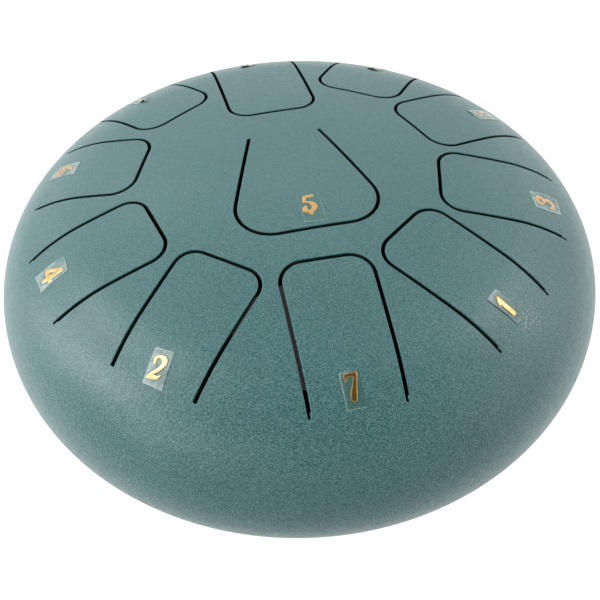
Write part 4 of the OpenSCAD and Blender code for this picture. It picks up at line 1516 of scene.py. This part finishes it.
# brightness of the room by height (level, halfway up, overhead), at the back
# and on the player's side
SKY_BACK = (1.06, 1.02, 0.21)
SKY_FRONT = (0.72, 0.365, 0.16)
tc = node(wt, "ShaderNodeTexCoord")
sx = node(wt, "ShaderNodeSeparateXYZ")
link(wt, tc.outputs["Generated"], sx.inputs[0])
sky_b = ramp(wt, [(z, (v, v, v)) for z, v in zip((0.3, 0.6, 0.9), SKY_BACK)])
sky_f = ramp(wt, [(z, (v, v, v)) for z, v in zip((0.3, 0.6, 0.9), SKY_FRONT)])
side_y = node(wt, "ShaderNodeMapRange", _interpolation_type="SMOOTHSTEP")
link(wt, sx.outputs["Y"], side_y.inputs["Value"])
side_y.inputs["From Min"].default_value, side_y.inputs["From Max"].default_value = -0.6, 0.2
for n in (sky_b, sky_f):
    link(wt, sx.outputs["Z"], n.inputs["Fac"])
link(wt, mix_color(wt, side_y.outputs["Result"], sky_f.outputs["Color"], sky_b.outputs["Color"]), bg.inputs["Color"])


def softbox(name, way, dist, size, power, color=(1.0, 1.0, 1.0)):
    """An area light in the direction way from the drum, facing it."""
    d = Vector(way).normalized()
    data = bpy.data.lights.new(name, "AREA")
    data.shape = "RECTANGLE"
    data.size, data.size_y = size
    data.energy = power
    data.color = color
    ob = bpy.data.objects.new(name, data)
    ob.location = Vector((0, 0, 0.08)) + d * dist
    ob.rotation_mode = "QUATERNION"
    ob.rotation_quaternion = d.to_track_quat("Z", "Y")
    bpy.context.scene.collection.objects.link(ob)
    return ob


def way(az, el):
    return (cosd(az) * cosd(el), sind(az) * cosd(el), sind(el))


LIGHTS = [
    softbox("box_%d_%d" % (az, el), way(az, el), 1.3, (size, size), power)
    for az, el, size, power in (
        (180, 20, 0.6, 4.2), (200, 32, 0.3, 3.7), (225, 20, 0.6, 2.6), (165, 45, 0.3, 2.3), (190, 60, 0.3, 2.2),
        (15, 45, 0.3, 1.7), (0, 20, 0.6, 1.25), (90, 52, 0.6, 1.1), (330, 20, 0.6, 0.8), (30, 52, 0.6, 0.7),
        (8, 32, 0.3, 0.7), (135, 20, 0.6, 0.6), (45, 20, 0.6, 0.6), (150, 52, 0.6, 0.4), (120, 40, 0.3, 0.4),
        (250, 30, 0.3, 0.4), (20, 70, 0.3, 0.3), (330, 50, 0.6, 0.3),
    )
]

# -------------------------------------------------------------------- camera
cam_data = bpy.data.cameras.new("camera")
cam_data.sensor_width = 36.0
cam_data.lens = 41.2483
cam_data.clip_start, cam_data.clip_end = 0.01, 20.0
cam = bpy.data.objects.new("camera", cam_data)
right = Vector((0.99976263, -0.01671511, -0.01397486)).normalized()
ahead = Vector((0.000397328, 0.65529955, -0.75536901)).normalized()
up = right.cross(ahead).normalized()
ahead = up.cross(right).normalized()
cam.matrix_world = Matrix(((right.x, up.x, -ahead.x, 0.0), (right.y, up.y, -ahead.y, -0.2185118),
                           (right.z, up.z, -ahead.z, 0.2882330), (0, 0, 0, 1)))
bpy.context.scene.collection.objects.link(cam)
bpy.context.scene.camera = cam
bpy.context.scene.view_settings.view_transform = "Standard"
bpy.context.scene.view_settings.look = "None"
bpy.context.scene.cycles.use_denoising = True
